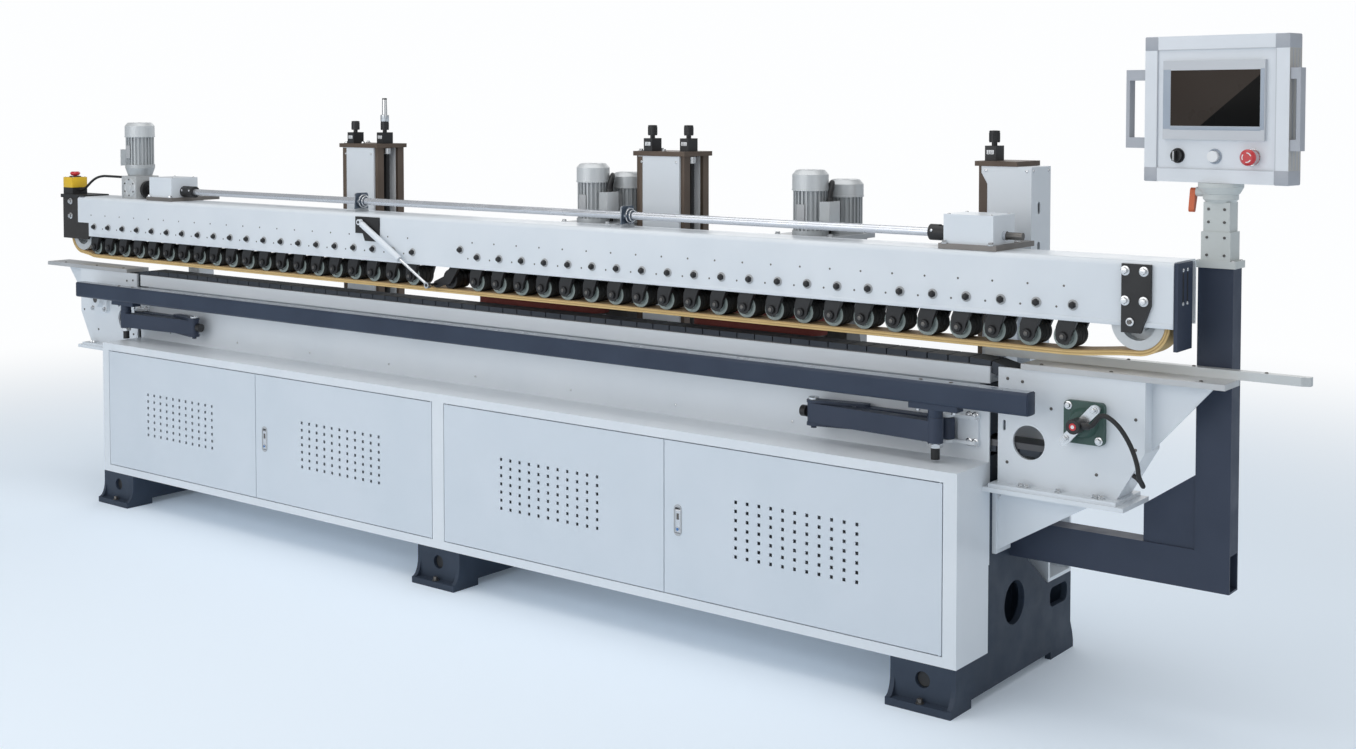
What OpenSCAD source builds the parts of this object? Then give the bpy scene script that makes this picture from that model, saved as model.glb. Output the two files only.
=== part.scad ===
// Through-feed edge sander for panels, all sizes in millimetres.
// X runs along the feed, Y from the operator's side to the back, Z up from the floor.

/* [Machine] */
// Length of the bed and of the cover cabinet in front of it
machine_len = 3800; // [3600:10:4000]
// Height of the pad tops above the floor
work_h = 904; // [890:1:930]
// Height of the gap between pads and pressure belt
work_gap = 35; // [25:1:50]
// Radial clearance of every turning fit
run_gap = 0.05; // [0.02:0.01:0.1]
// Clearance between faces that slide or turn past each other
slide_gap = 0.5; // [0.3:0.1:1]

/* [Bases] */
// Width of each cast base along the machine
base_w = 194; // [160:1:230]
// How far the front toe stands out of the cabinet front
toe_len = 28; // [15:1:45]
// Thickness of the toe
toe_h = 20; // [14:1:30]
// Thickness of the curved cheeks beside the toe
cheek_t = 14; // [8:1:24]
// Back of the rear foot
base_back = 709; // [690:1:760]
// Height of the casting under the cabinet
base_front_h = 122; // [110:1:140]
// Height of the casting under the bed
base_top_h = 357; // [330:1:380]
// Height of the machined ledge at the back
ledge_h = 227; // [200:1:250]
// Clear height under the casting between its feet
foot_relief = 22; // [12:1:35]
// Diameter of the round hole through each base
base_hole_d = 120; // [80:1:140]

/* [Cover cabinet] */
// Depth of the cover cabinet
cab_depth = 175; // [150:1:200]
// Depth of the cabinet's top below the pad tops
cab_drop = 272; // [250:1:300]
// Sheet thickness of the cabinet
cab_sheet = 4; // [2:0.5:6]
// Width of the stile at each end
end_stile = 40; // [30:1:60]
// Width of the post in the middle
mid_post = 53; // [40:1:80]
// Height of the rails above and below the doors
door_rail = 27; // [20:1:40]
// Depth of a folded door
door_t = 22; // [18:1:30]
// Sheet thickness of a door
door_sheet = 3; // [2:0.5:4]
// Gap around a door
door_gap = 3; // [2.5:0.5:4]
// Radius of the door pivot pins
pivot_r = 3; // [2:0.5:4]
// Side of one square vent hole
vent = 10; // [6:1:14]
// Vent columns on one door
vent_cols = 11; // [5:1:13]
// Vent rows on one door
vent_rows = 7; // [3:1:9]
// Vent pitch along the door
vent_pitch_x = 40; // [30:1:50]
// Vent pitch up the door
vent_pitch_z = 26; // [20:1:32]

/* [Bed and feed chain] */
// Depth of the bed box
bed_depth = 205; // [190:1:230]
// Wall of the bed box
bed_wall = 10; // [6:1:16]
// Height of the shadow gap under the chain track
track_gap = 6; // [3:1:10]
// Height of the chain track
track_h = 31; // [24:1:36]
// Width of the pads
pad_w = 76; // [60:1:76]
// Thickness of the pads
pad_t = 16; // [12:1:18]
// Thickness of the chain links under the pads
link_t = 16; // [12:1:20]
// Pitch of the pads
pad_pitch = 63.5; // [55:0.5:75]
// Slit between two pads
pad_slit = 4; // [3.5:0.5:6]
// Distance of each chain wheel beyond the bed's end
wheel_out = 271; // [250:1:300]
// Depth of the chain wheels' axle below the pad tops
wheel_drop = 133; // [124:1:144]
// Radius of the chain over the wheels, measured under the pads
chain_r = 95; // [85:1:97]
// Radius of the chain wheel shafts
wheel_shaft_r = 15; // [10:0.5:18]

/* [End housings and tables] */
// Gap between the bed's end and an end housing
housing_gap = 25; // [15:1:40]
// Length of an end housing
housing_len = 401; // [380:1:430]
// Plate thickness of the housings
housing_t = 8; // [6:1:10]
// Height of a housing from its lower edge to the pad tops
housing_h = 319; // [304:1:344]
// Thickness of a table slab
slab_t = 15; // [12:1:20]
// Depth of a table slab
slab_d = 103; // [95:1:110]
// Start of a table slab beyond the bed's end
slab_start = 90; // [80:1:100]
// End of the infeed slab beyond the bed's end
infeed_end = 625; // [560:1:700]
// End of the outfeed slab beyond the bed's end
outfeed_end = 670; // [560:1:700]
// Height of the infeed fence bar
fence_h = 22; // [15:1:28]
// Depth of the infeed fence bar
fence_d = 26; // [15:1:26]
// Tip of the fence beyond the bed's end
fence_tip = 796; // [795:1:850]

/* [Pressure beam] */
// Width of the beam
beam_w = 150; // [146:1:158]
// Height of the beam
beam_h = 163; // [150:1:175]
// Wall of the folded beam
beam_wall = 6; // [4:0.5:8]
// Radius of the beam's upper edges
beam_edge_r = 14; // [8:1:20]
// Infeed end of the beam beyond the bed's end
beam_infeed = 508; // [490:1:530]
// Outfeed end of the beam beyond the bed's end
beam_outfeed = 382; // [375:1:400]
// Roller pitch
roller_pitch = 100; // [90:1:110]
// Most rollers on the infeed side of the swing arm
rollers_infeed = 22; // [18:1:22]
// Most rollers on the outfeed side of the swing arm
rollers_outfeed = 20; // [16:1:20]
// Radius of the pressure rollers
roller_r = 33; // [28:1:36]
// Drop from a roller's pivot to its axle
arm_drop = 85; // [80:1:92]
// How far a roller trails its pivot
arm_trail = 35; // [25:1:45]
// Thickness of the pressure belt
belt_t = 14; // [8:1:16]
// Width of the pressure belt
belt_w = 80; // [70:1:84]
// Radius of the belt pulleys
pulley_r = 70; // [62:1:74]
// Height of the pulley axles above the lower belt run
pulley_rise = 98; // [94:1:104]
// Radius of the pulley axles
pulley_axle_r = 10; // [8:0.5:12]

/* [Beam lift] */
// Radius of the long cross shaft
shaft_r = 12; // [9:0.5:14]
// Height of the cross shaft above the beam
shaft_rise = 37; // [34:1:42]
// Height of a gear cover above its base plate
gear_h = 78; // [65:1:85]
// Length of a gear cover
gear_len = 146; // [125:1:160]
// Thickness of the base plates
gear_plate_t = 14; // [10:1:18]
// Side of the square lift columns
lift_col = 70; // [60:1:74]
// Radius of the lift motor
lift_motor_r = 58; // [50:1:62]

/* [Support bar] */
// Height of the support bar
bar_h = 61; // [50:1:66]
// Depth of the support bar
bar_d = 45; // [40:1:60]
// Wall of the support bar
bar_wall = 4; // [3:0.5:6]
// Depth of the support bar's top below the pad tops
bar_drop = 56; // [36:1:60]
// Length of each folding link
link_len = 404; // [380:1:420]
// Width of the link tubes
link_w = 36; // [28:1:38]
// Height of the link tubes
link_h = 56; // [48:1:58]
// Radius of the barrels at shoulder and wrist
barrel_r = 21; // [18:1:22]

/* [Rear units] */
// Depth of the rear bed's top below the pad tops
rear_drop = 184; // [144:1:214]
// Front of the unit columns
column_y = 420; // [410:1:440]
// Depth of the unit columns
column_d = 130; // [110:1:150]
// Plate thickness of the unit columns
column_t = 30; // [10:1:34]
// Radius of the sanding motors
motor_r = 54; // [48:1:56]
// Height of the sanding motors
motor_h = 191; // [170:1:210]
// Radius of the sanding belt drums
drum_r = 50; // [42:1:54]
// Height of the abrasive belts
abrasive_h = 90; // [60:1:100]
// Thickness of the abrasive belts
abrasive_t = 2; // [1:0.5:3]

/* [Console] */
// Width of the console
con_w = 384; // [340:1:420]
// Height of the console
con_h = 366; // [340:1:400]
// Depth of the console
con_d = 64; // [60:1:90]
// Turn of the console towards the feed, in degrees
con_turn = -8; // [-20:1:10]
// Side of the upright post along the machine
post_w = 89; // [80:1:110]
// Depth of the post and its arm
post_d = 60; // [50:1:64]
// Height of the post above the pad tops
post_rise = 266; // [216:1:316]
// Height of the neck under the console
neck_h = 211; // [190:1:240]

/* [Hidden] */
$fn = 48;
eps = 1;

// Colours
c_white = [0.86, 0.88, 0.90];
c_slate = [0.20, 0.24, 0.29];
c_black = [0.10, 0.10, 0.11];
c_steel = [0.62, 0.63, 0.64];
c_grey = [0.66, 0.68, 0.69];
c_tan = [0.76, 0.60, 0.36];
c_tread = [0.30, 0.33, 0.32];
c_green = [0.16, 0.30, 0.26];
c_brown = [0.42, 0.34, 0.27];
c_abrasive = [0.45, 0.14, 0.12];

// Bed and chain levels
half = machine_len / 2;
cab_top = work_h - cab_drop;
wheel_z = work_h - wheel_drop;
housing_low = work_h - housing_h;
bar_top = work_h - bar_drop;
rear_top = work_h - rear_drop;
post_top = work_h + post_rise;
bed_front = cab_depth;
bed_back = bed_front + bed_depth;
skin_t = 5;
chain_top = work_h - pad_t;
track_top = chain_top - link_t;
track_low = track_top - track_h;
bed_top = track_low - track_gap;
track_wall = 8;
pad_front = bed_front + housing_t + 2;
pad_back = pad_front + pad_w;
pad_mid = (pad_front + pad_back) / 2;

// Chain path: xl, xr, axle height, radius, rise, start of rise, full rise on both sides
wheel_x = half + wheel_out;
chain_rise = chain_top - wheel_z - chain_r;
ramp_low = half + slab_start - 5;
ramp_full = ramp_low - 120;
chain_loop = [-wheel_x, wheel_x, wheel_z, chain_r, chain_rise, -ramp_low, -ramp_full, ramp_full,
    ramp_low];

// Pressure beam levels
belt_low = work_h + work_gap;
axle_z = belt_low + belt_t + roller_r;
pivot_z = axle_z + arm_drop;
pivot_inset = 41;
beam_low = pivot_z - pivot_inset;
beam_top = beam_low + beam_h;
beam_front = bed_front - 37;
beam_back = beam_front + beam_w;
beam_mid = (beam_front + beam_back) / 2;
beam_xr = half + beam_infeed;
beam_xl = -half - beam_outfeed;
pulley_z = belt_low + pulley_rise;
pulley_xr = beam_xr - 100;
pulley_xl = beam_xl - 8;
belt_front = beam_front + 26;
belt_back = belt_front + belt_w;
roller_back = belt_back - 6;
roller_front = belt_front + 8;
first_pivot = half + 249;
last_pivot = -half - 261;
swing_pivot = [-30, pivot_z + 21];
swing_room = [200, 70];
fit_infeed = floor((first_pivot - swing_pivot[0] - swing_room[1]) / roller_pitch) + 1;
fit_outfeed = floor((swing_pivot[0] - swing_room[0] - last_pivot) / roller_pitch) + 1;
pivots = concat([for (i = [0:min(rollers_infeed, fit_infeed) - 1]) first_pivot - i * roller_pitch],
    [for (i = [0:min(rollers_outfeed, fit_outfeed) - 1]) last_pivot + i * roller_pitch]);
belt_rise = pulley_rise - belt_t - pulley_r;
belt_loop = [pulley_xl, pulley_xr, -pulley_z, pulley_r, belt_rise,
    pulley_xl, last_pivot - arm_trail, first_pivot - arm_trail, pulley_xr];

// Swing arm and gas strut, in X and Z
swing_axle = [-115, axle_z];
strut_low = [-170, axle_z - 20];
strut_up = [-510, pivot_z + 93];
swing_pin_r = 8;
swing_hub_r = 13;
strut_y = beam_front - 18;
strut_run = norm(strut_low - strut_up);
strut_tilt = atan2(strut_low[1] - strut_up[1], strut_low[0] - strut_up[0]);
strut_body = 235;
strut_r = 11;
strut_rod_r = 5;
strut_in = 60;
stud_r = 5;
stud_play = 0.6;

// Support arms: shoulder and wrist share one X, the elbow lies towards the middle
shoulder_y = bed_front - 25;
wrist_y = bed_front - 88;
elbow_y = (shoulder_y + wrist_y) / 2;
elbow_run = sqrt(pow(link_len, 2) - pow((shoulder_y - wrist_y) / 2, 2));
link_z = bar_top - 161;
arm_right_x = half - 112;
arm_left_x = -half + 30;
shoulder_pin_r = 10;
elbow_pin_r = 8;
wrist_pin_r = 12;
fork_t = 8;
fork_len = 130;
bar_low = bar_top - bar_h;
bar_front = wrist_y - bar_d / 2;
bar_xl = -half - 287;
bar_xr = half + 160;

// Doors
door_low = base_front_h + door_rail;
door_high = cab_top - door_rail - 1;
bay_w = (machine_len - 2 * end_stile - mid_post) / 2;
door_w = (bay_w - 3 * door_gap) / 2;
bay_left = -half + end_stile;
bay_right = mid_post / 2;
door_x = [bay_left + door_gap, bay_left + 2 * door_gap + door_w,
    bay_right + door_gap, bay_right + 2 * door_gap + door_w];
pivot_in = 8;
pivot_y = 6;
pivot_len = 18;
latch_in = 50;
latch_w = 28;
latch_h = 92;
latch_z = (door_low + door_high) / 2 - 5;

// Housings, tables and fence
housing_x = half + housing_gap;
housing_end = housing_x + housing_len;
slab_low = work_h - 1 - slab_t;
slab_front = bed_front - 3;
slab_back = slab_front + slab_d;
housing_back = pad_back + 2;
flange_y = [bed_front - 35, housing_back + housing_t + 28];
flange_t = 10;
bracket_low = housing_low - 200;
bearing_side = 108;
bearing_t = 16;
bearing_boss_r = 31;
bearing_boss_h = 34;
encoder_y = [bed_front - 78, bed_front - bearing_boss_h - 8];

// Lift
lift_x = [-half + 175, half - 55];
lift_y = beam_back + 17 + lift_col / 2;
lift_top = beam_top - 75;
shaft_z = beam_top + shaft_rise;
gear_front = beam_mid - 60;
gear_back = beam_mid + 62;
screw_r = 12;
screw_in = 180;
stand_w = 60;
shaft_stub = 56;
crank_len = 46;
crank_r = 10;
coupling_r = 22;
coupling_len = 70;
shaft_posts = [-610, 625];

// Rear units: column x, width, top height
columns = [[-946, 195, work_h + 524], [498, 195, work_h + 520]];
// Infeed column: left side, right side, top
end_column = [half - 164, half, work_h + 500];
rear_front = 540;
rear_back = base_back - 20;
rear_plate_t = 20;
head_y = 352;
head_plate_z = work_h + 286;
head_plate_t = 14;
head_plate_out = [100, 66];
head_plate_edge = 62;
head_post_edge = 60;
// Front motor x, rear motor x, idle drum x
heads = [[368, 421, -80], [1218, 1266, 850]];
rear_motor_y = 470;
rear_motor_drop = 31;
abrasive_z = work_h - 9;

// Console
post_x = half + 508;
post_y = bed_front + 125;
console_c = [post_x + post_w / 2, post_y + post_d / 2];
neck_low = post_top;
con_low = neck_low + neck_h;
con_front = -con_d / 2;
con_shift = -3;
swivel_gap = 0.5;
button_z = con_low + 66;

// The origin lies on the floor under the middle of the bounding box
x_max = half + fence_tip;
x_min = -half - outfeed_end;
module place() {
    translate([-(x_max + x_min) / 2, -(base_back - toe_len) / 2, 0]) children();
}

// A box between two corners
module block(a, b) {
    translate(a) cube(b - a);
}
// Round bars along each axis
module rod_x(x0, x1, y, z, r) {
    translate([x0, y, z]) rotate([0, 90, 0]) cylinder(h = x1 - x0, r = r);
}
module rod_y(x, z, y0, y1, r) {
    translate([x, y1, z]) rotate([90, 0, 0]) cylinder(h = y1 - y0, r = r);
}
module rod_z(x, y, z0, z1, r) {
    translate([x, y, z0]) cylinder(h = z1 - z0, r = r);
}
// A drawing in X and Z with a thickness in Y
module plate_xz(y0, y1) {
    translate([0, y1, 0]) rotate([90, 0, 0]) linear_extrude(y1 - y0) children();
}
// A drawing in Y and Z with a thickness in X
module plate_yz(x0, x1) {
    translate([x0, 0, 0]) rotate([90, 0, 90]) linear_extrude(x1 - x0) children();
}
// A rectangle with round corners, drawn from its lower left corner
module round_rect(w, h, r) {
    translate([r, 0]) square([w - 2 * r, h]);
    translate([0, r]) square([w, h - 2 * r]);
    for (x = [r, w - r], y = [r, h - r]) translate([x, y]) circle(r);
}
// A straight link between two points with round ends
module link_2d(a, b, ra, rb) {
    d = b - a;
    turn = atan2(d[1], d[0]);
    translate(a) circle(ra);
    translate(b) circle(rb);
    translate(a) rotate(turn) polygon([[0, -ra], [norm(d), -rb], [norm(d), rb], [0, ra]]);
}
// The same link drawn as one polygon
module strap_2d(a, b, ra, rb) {
    d = b - a;
    turn = atan2(d[1], d[0]);
    t = acos((ra - rb) / norm(d));
    n = 15;
    polygon(concat(
        [for (i = [0:n]) let (g = turn + t + (360 - 2 * t) * i / n) a + ra * [cos(g), sin(g)]],
        [for (i = [0:n]) let (g = turn - t + 2 * t * i / n) b + rb * [cos(g), sin(g)]]));
}
// A row of fins round a motor, drawn as one outline
module finned_2d(r_out, r_in, fins) {
    step = 360 / fins;
    polygon([for (i = [0:fins - 1], p = [[0.05, r_in], [0.1, r_out], [0.5, r_out], [0.55, r_in]])
        p[1] * [cos((i + p[0]) * step), sin((i + p[0]) * step)]]);
}

// A loop of chain or belt: a long upper run that rises in the middle, and a straight return
function ease(t) = let (u = min(max(t, 0), 1)) u * u * (3 - 2 * u);
function loop_lift(l, x) = l[4] * min(ease((x - l[5]) / (l[6] - l[5])), ease((l[8] - x) / (l[8] - l[7])));
function loop_run(l) = l[1] - l[0];
function loop_length(l) = 2 * loop_run(l) + 2 * PI * l[3];
function run_point(l, x, h) =
    let (slope = (loop_lift(l, x + 1) - loop_lift(l, x - 1)) / 2, n = norm([slope, 1]))
    [x - h * slope / n, l[2] + l[3] + loop_lift(l, x) + h / n];
function arc_point(l, x, side, deg, h) =
    [x + side * (l[3] + h) * sin(deg), l[2] + side * (l[3] + h) * cos(deg)];
function loop_point(l, s, h) =
    let (run = loop_run(l), arc = PI * l[3])
    s < run ? run_point(l, l[0] + s, h) :
    s < run + arc ? arc_point(l, l[1], 1, (s - run) / l[3] * 180 / PI, h) :
    s < 2 * run + arc ? [l[1] - (s - run - arc), l[2] - l[3] - h] :
    arc_point(l, l[0], -1, (s - 2 * run - arc) / l[3] * 180 / PI, h);
// Places along a loop where its outline bends
arc_steps = 28;
ramp_steps = 10;
function loop_bends(l) =
    let (run = loop_run(l), arc = PI * l[3])
    concat([for (i = [0:ramp_steps]) l[5] + (l[6] - l[5]) * i / ramp_steps - l[0]],
        [for (i = [0:ramp_steps]) l[7] + (l[8] - l[7]) * i / ramp_steps - l[0]],
        [for (i = [0:arc_steps - 1]) run + arc * (i + 0.01) / arc_steps],
        [for (i = [0:arc_steps - 1]) 2 * run + arc + arc * (i + 0.01) / arc_steps]);
function loop_outline(l, h) = [for (s = loop_bends(l)) loop_point(l, s, h)];

// A tube swept along points, as one closed skin; ref is a direction the route never takes
tube_sides = 8;
function tangent(p, i) =
    let (d = p[min(i + 1, len(p) - 1)] - p[max(i - 1, 0)]) d / norm(d);
function ring(p, i, r, ref) =
    let (t = tangent(p, i), c = cross(t, ref), u = c / norm(c), v = cross(t, u))
    [for (k = [0:tube_sides - 1]) let (a = k * 360 / tube_sides) p[i] + r * (u * cos(a) + v * sin(a))];
module tube(p, r, ref) {
    n = len(p);
    skin = [for (i = [0:n - 1]) each ring(p, i, r, ref)];
    sides = [for (i = [0:n - 2], k = [0:tube_sides - 1], half_face = [0, 1])
        let (a = i * tube_sides + k, b = i * tube_sides + (k + 1) % tube_sides)
        half_face == 0 ? [a, b, a + tube_sides] : [b, b + tube_sides, a + tube_sides]];
    ends = concat([for (k = [1:tube_sides - 2]) [0, k + 1, k]],
        [for (k = [1:tube_sides - 2]) let (e = (n - 1) * tube_sides) [e, e + k, e + k + 1]]);
    polyhedron(concat(skin), concat(sides, ends));
}

// Cast base: feet, bed seat, rear ledge, with curved cheeks beside the toe
base_hole = [330, 221];
base_window = [[552, 150], [112, 56]];
front_foot_back = 85;
rear_foot_front = 560;
seat_back = 367;
slope_end = 534;
rear_face = 689;
toe_curve_h = 60;
base_wall = 18;
module base_profile() {
    polygon([[0, 0], [front_foot_back, 0], [front_foot_back, foot_relief], [rear_foot_front, foot_relief],
        [rear_foot_front, 0], [base_back, 0], [base_back, toe_h], [base_back - 6, toe_h + 25],
        [rear_face, toe_h + 60], [rear_face, ledge_h], [slope_end, ledge_h], [seat_back, base_top_h],
        [cab_depth, base_top_h], [cab_depth, base_front_h], [0, base_front_h]]);
}
module base_hollow() {
    w = base_wall;
    polygon([[w, -eps], [rear_face - w, -eps], [rear_face - w, ledge_h - w], [slope_end - 3, ledge_h - w],
        [seat_back - 3, base_top_h - w], [cab_depth + w, base_top_h - w],
            [cab_depth + w, base_front_h - w],
        [w, base_front_h - w]]);
}
module cheek_profile() {
    curve = [for (a = [0:15:90]) [-toe_len * (1 - sin(a)), toe_h + toe_curve_h * (1 - cos(a))]];
    polygon(concat([[eps, 0], [-toe_len, 0]], curve, [[eps, toe_h + toe_curve_h]]));
}
upright_t = 20;
chain_window = [bed_front + 8, wheel_z - chain_r - pad_t - 12, pad_w + 10, pad_t + link_t + 24];
module upright(x) {
    plate_yz(x, x + upright_t) difference() {
        translate([bed_front + skin_t, base_top_h - eps]) square([bed_depth - skin_t,
            bed_top - base_top_h + eps]);
        translate([chain_window[0], chain_window[1]]) square([chain_window[2], chain_window[3]]);
    }
}
module cast_base(x) {
    color(c_slate) place() difference() {
        union() {
            plate_yz(x, x + base_w) base_profile();
            block([x, -toe_len, 0], [x + base_w, eps, toe_h]);
            for (c = [x, x + base_w - cheek_t]) plate_yz(c, c + cheek_t) cheek_profile();
        }
        plate_yz(x + base_wall, x + base_w - base_wall) base_hollow();
        rod_x(x - eps, x + base_w + eps, base_hole[0], base_hole[1], base_hole_d / 2);
        plate_yz(x - eps, x + base_w + eps) translate(base_window[0])
            round_rect(base_window[1][0], base_window[1][1], 20);
        rod_y(x + base_w / 2, 78, -eps, 40, 22);
    }
}
module base_left() {
    cast_base(-half);
    color(c_slate) place() upright(-half);
}
module base_middle() {
    cast_base(-base_w / 2);
}
module base_right() {
    cast_base(half - base_w);
    color(c_slate) place() upright(half - upright_t);
}

// Cover cabinet with two bays and the pins that the doors turn on
function hinge_x(i, side) = side < 0 ? door_x[i] + pivot_in : door_x[i] + door_w - pivot_in;
hinge_side = [-1, 1, -1, 1];
module cabinet_shell() {
    color(c_white) place() {
        difference() {
            block([-half, 0, base_front_h], [half, cab_depth, cab_top]);
            for (b = [bay_left, bay_right]) {
                block([b, -eps, door_low], [b + bay_w, cab_depth - cab_sheet, door_high]);
                block([b - end_stile / 2 + cab_sheet, door_t + 8, base_front_h + cab_sheet],
                    [b + bay_w + end_stile / 2 - cab_sheet, cab_depth - cab_sheet, cab_top - cab_sheet]);
            }
        }
        for (i = [0:3], z = [[door_low - eps, door_low + pivot_len],
            [door_high - pivot_len, door_high + eps]])
            rod_z(hinge_x(i, hinge_side[i]), pivot_y, z[0], z[1], pivot_r);
    }
}

// Folded doors with vents, pivot blocks and, on two of them, a latch cup
block_w = 16;
latch_pocket = [20, 76];
latch_pin_r = 2;
latch_pin_y = 3;
latch_pin_drop = 10;
function latch_x(i) = door_x[i] + latch_in;
module obround(w, h) {
    translate([0, h / 2 - w / 2]) circle(w / 2);
    translate([0, w / 2 - h / 2]) circle(w / 2);
    square([w, h - w], center = true);
}
module door_panel(i) {
    x0 = door_x[i];
    x1 = x0 + door_w;
    z0 = door_low + door_gap;
    z1 = door_high - door_gap;
    hx = hinge_x(i, hinge_side[i]);
    difference() {
        union() {
            difference() {
                block([x0, 0, z0], [x1, door_t, z1]);
                block([x0 + door_sheet, door_sheet, z0 + door_sheet],
                    [x1 - door_sheet, door_t + eps, z1 - door_sheet]);
            }
            for (z = [z0, z1 - 2 * block_w])
                block([hx - pivot_in, 0, z], [hx + pivot_in, block_w, z + 2 * block_w]);
        }
        for (c = [0:vent_cols - 1], r = [0:vent_rows - 1])
            translate([(x0 + x1) / 2 + (c - (vent_cols - 1) / 2) * vent_pitch_x, 0,
                (z0 + z1) / 2 + (r - (vent_rows - 1) / 2) * vent_pitch_z])
                cube([vent, 4 * door_sheet, vent], center = true);
        for (z = [[z0 - eps, z0 + pivot_len], [z1 - pivot_len, z1 + eps]])
            rod_z(hx, pivot_y, z[0], z[1], pivot_r + run_gap);
        if (hinge_side[i] > 0) translate([latch_x(i), 0, latch_z])
            plate_xz(-eps, 2 * door_sheet) obround(latch_w - 2, latch_h - 2);
    }
    if (hinge_side[i] > 0) translate([latch_x(i), 0, latch_z]) {
        difference() {
            plate_xz(-2, 12) obround(latch_w, latch_h);
            plate_xz(-3, 9) square(latch_pocket, center = true);
        }
        rod_x(-latch_pocket[0] / 2 - eps, latch_pocket[0] / 2 + eps, latch_pin_y,
            latch_pocket[1] / 2 - latch_pin_drop, latch_pin_r);
    }
}
module door_a() {
    color(c_white) place() door_panel(0);
}
module door_b() {
    color(c_white) place() door_panel(1);
}
module door_c() {
    color(c_white) place() door_panel(2);
}
module door_d() {
    color(c_white) place() door_panel(3);
}
// Latch handle that lies in its cup and swings out at the bottom
module latch(i) {
    w = latch_pocket[0] / 2 - 1;
    pin_z = latch_pocket[1] / 2 - latch_pin_drop;
    r = latch_pin_r + 2;
    color(c_steel) place() translate([latch_x(i), 0, latch_z]) difference() {
        union() {
            block([-w, latch_pin_y - r, -latch_pocket[1] / 2 + 2], [w, latch_pin_y + r, pin_z]);
            rod_x(-w, w, latch_pin_y, pin_z, r);
        }
        rod_x(-w - eps, w + eps, latch_pin_y, pin_z, latch_pin_r + run_gap);
    }
}
module latch_b() {
    latch(1);
}
module latch_d() {
    latch(3);
}

// Bed: a box between the castings with its front sheet and the chain track on top
module bed_beam() {
    inner = half - upright_t;
    rail_back = pad_back + 2;
    color(c_white) place() {
        difference() {
            block([-inner, bed_front, base_top_h], [inner, bed_back, bed_top]);
            block([-inner - eps, bed_front + bed_wall, base_top_h + bed_wall],
                [inner + eps, bed_back - bed_wall, bed_top - bed_wall]);
        }
        block([-half, bed_front, base_top_h], [half, bed_front + skin_t, bed_top]);
        block([-ramp_full, bed_front + 14, bed_top - eps], [ramp_full, rail_back, track_low + eps]);
        block([-ramp_full, bed_front, track_low], [ramp_full, rail_back + track_wall, track_top]);
        block([-half, bed_front, track_low], [half, bed_front + track_wall, chain_top - 2]);
        block([-ramp_full, rail_back, track_low], [ramp_full, rail_back + track_wall, chain_top - 2]);
    }
}

// Feed chain: one loop of links with a pad on every pitch
module feed_chain() {
    pads = round(loop_length(chain_loop) / pad_pitch);
    pitch = loop_length(chain_loop) / pads;
    outer = [for (i = [0:pads - 1], c = [[0, 0], [0, 1], [1, 1], [1, 0]])
        loop_point(chain_loop, (i + c[0]) * pitch + (0.5 - c[0]) * pad_slit, c[1] * pad_t)];
    inner = loop_outline(chain_loop, -link_t);
    color(c_slate) place() difference() {
        plate_xz(pad_front, pad_back) difference() {
            polygon(outer);
            polygon(inner);
        }
    }
}

// One chain wheel on its shaft
wheel_teeth = 20;
module chain_wheel(x, front, back) {
    rim = chain_r - link_t - slide_gap;
    color(c_steel) place() {
        rod_y(x, wheel_z, front, back, wheel_shaft_r);
        translate([x, 0, wheel_z]) plate_xz(pad_mid - 20, pad_mid + 20)
            finned_2d(rim, rim - 8, wheel_teeth);
        rod_y(x, wheel_z, pad_mid - 26, pad_mid + 26, wheel_shaft_r + 16);
    }
}
bearing_front = bed_front - bearing_boss_h;
bearing_back = housing_back + housing_t + bearing_boss_h;
module feed_idler() {
    chain_wheel(wheel_x, bearing_front - 6, bearing_back);
}
module feed_drive() {
    chain_wheel(-wheel_x, bearing_front, bearing_back);
}

// End housing: two plates, slanted end wall, lower flange and table gusset
function housing_outline() = [[housing_x, housing_low], [housing_end - 72, housing_low],
    [housing_end, housing_low + 123], [housing_end, slab_low], [housing_x, slab_low]];
sight_hole = [housing_x + 88, wheel_z - 73];
sight_hole_d = 90;
bearing_bolt = 83;
module bearing_holes(r) {
    for (dx = [-0.5, 0.5], dz = [-0.5, 0.5])
        translate([wheel_x + dx * bearing_bolt, wheel_z + dz * bearing_bolt]) circle(r);
}
module end_housing() {
    o = housing_outline();
    plate_xz(bed_front, bed_front + housing_t) difference() {
        polygon(o);
        translate(sight_hole) circle(sight_hole_d / 2);
        translate([wheel_x, wheel_z]) circle(wheel_shaft_r + 6);
        translate([housing_x + 18, wheel_z - 35]) obround(8, 28);
    }
    plate_xz(housing_back, housing_back + housing_t) difference() {
        polygon(o);
        translate([wheel_x, wheel_z]) circle(wheel_shaft_r + 6);
    }
    plate_xz(bed_front + housing_t - eps, housing_back + eps) polygon([o[1], o[2], o[3],
        o[3] - [housing_t, 0], o[2] - [housing_t, -4], o[1] - [housing_t + 2, 0]]);
    block([housing_x - 10, flange_y[0], housing_low - flange_t],
        [housing_end - 60, flange_y[1], housing_low]);
    gusset_y = (bed_front + housing_back) / 2;
    plate_xz(gusset_y, gusset_y + housing_t) polygon([[housing_end - eps, slab_low],
        [housing_end + 160, slab_low], [housing_end - eps, housing_low + 123]]);
}
module end_bracket() {
    top = housing_low - flange_t;
    block([half, bed_front + 20, bracket_low], [half + 12, flange_y[1] - 20, top]);
    block([half, flange_y[0] - 6, top - 12], [housing_end - 38, flange_y[1], top]);
    plate_xz(bed_front + 30, bed_front + 42) polygon([[half + 11, top - 11],
        [housing_end - 130, top - 11],
        [half + 11, bracket_low + 10]]);
}
module both_ends() {
    children();
    mirror([1, 0, 0]) children();
}
module end_housings() {
    color(c_white) place() both_ends() {
        end_housing();
        end_bracket();
    }
}
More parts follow.
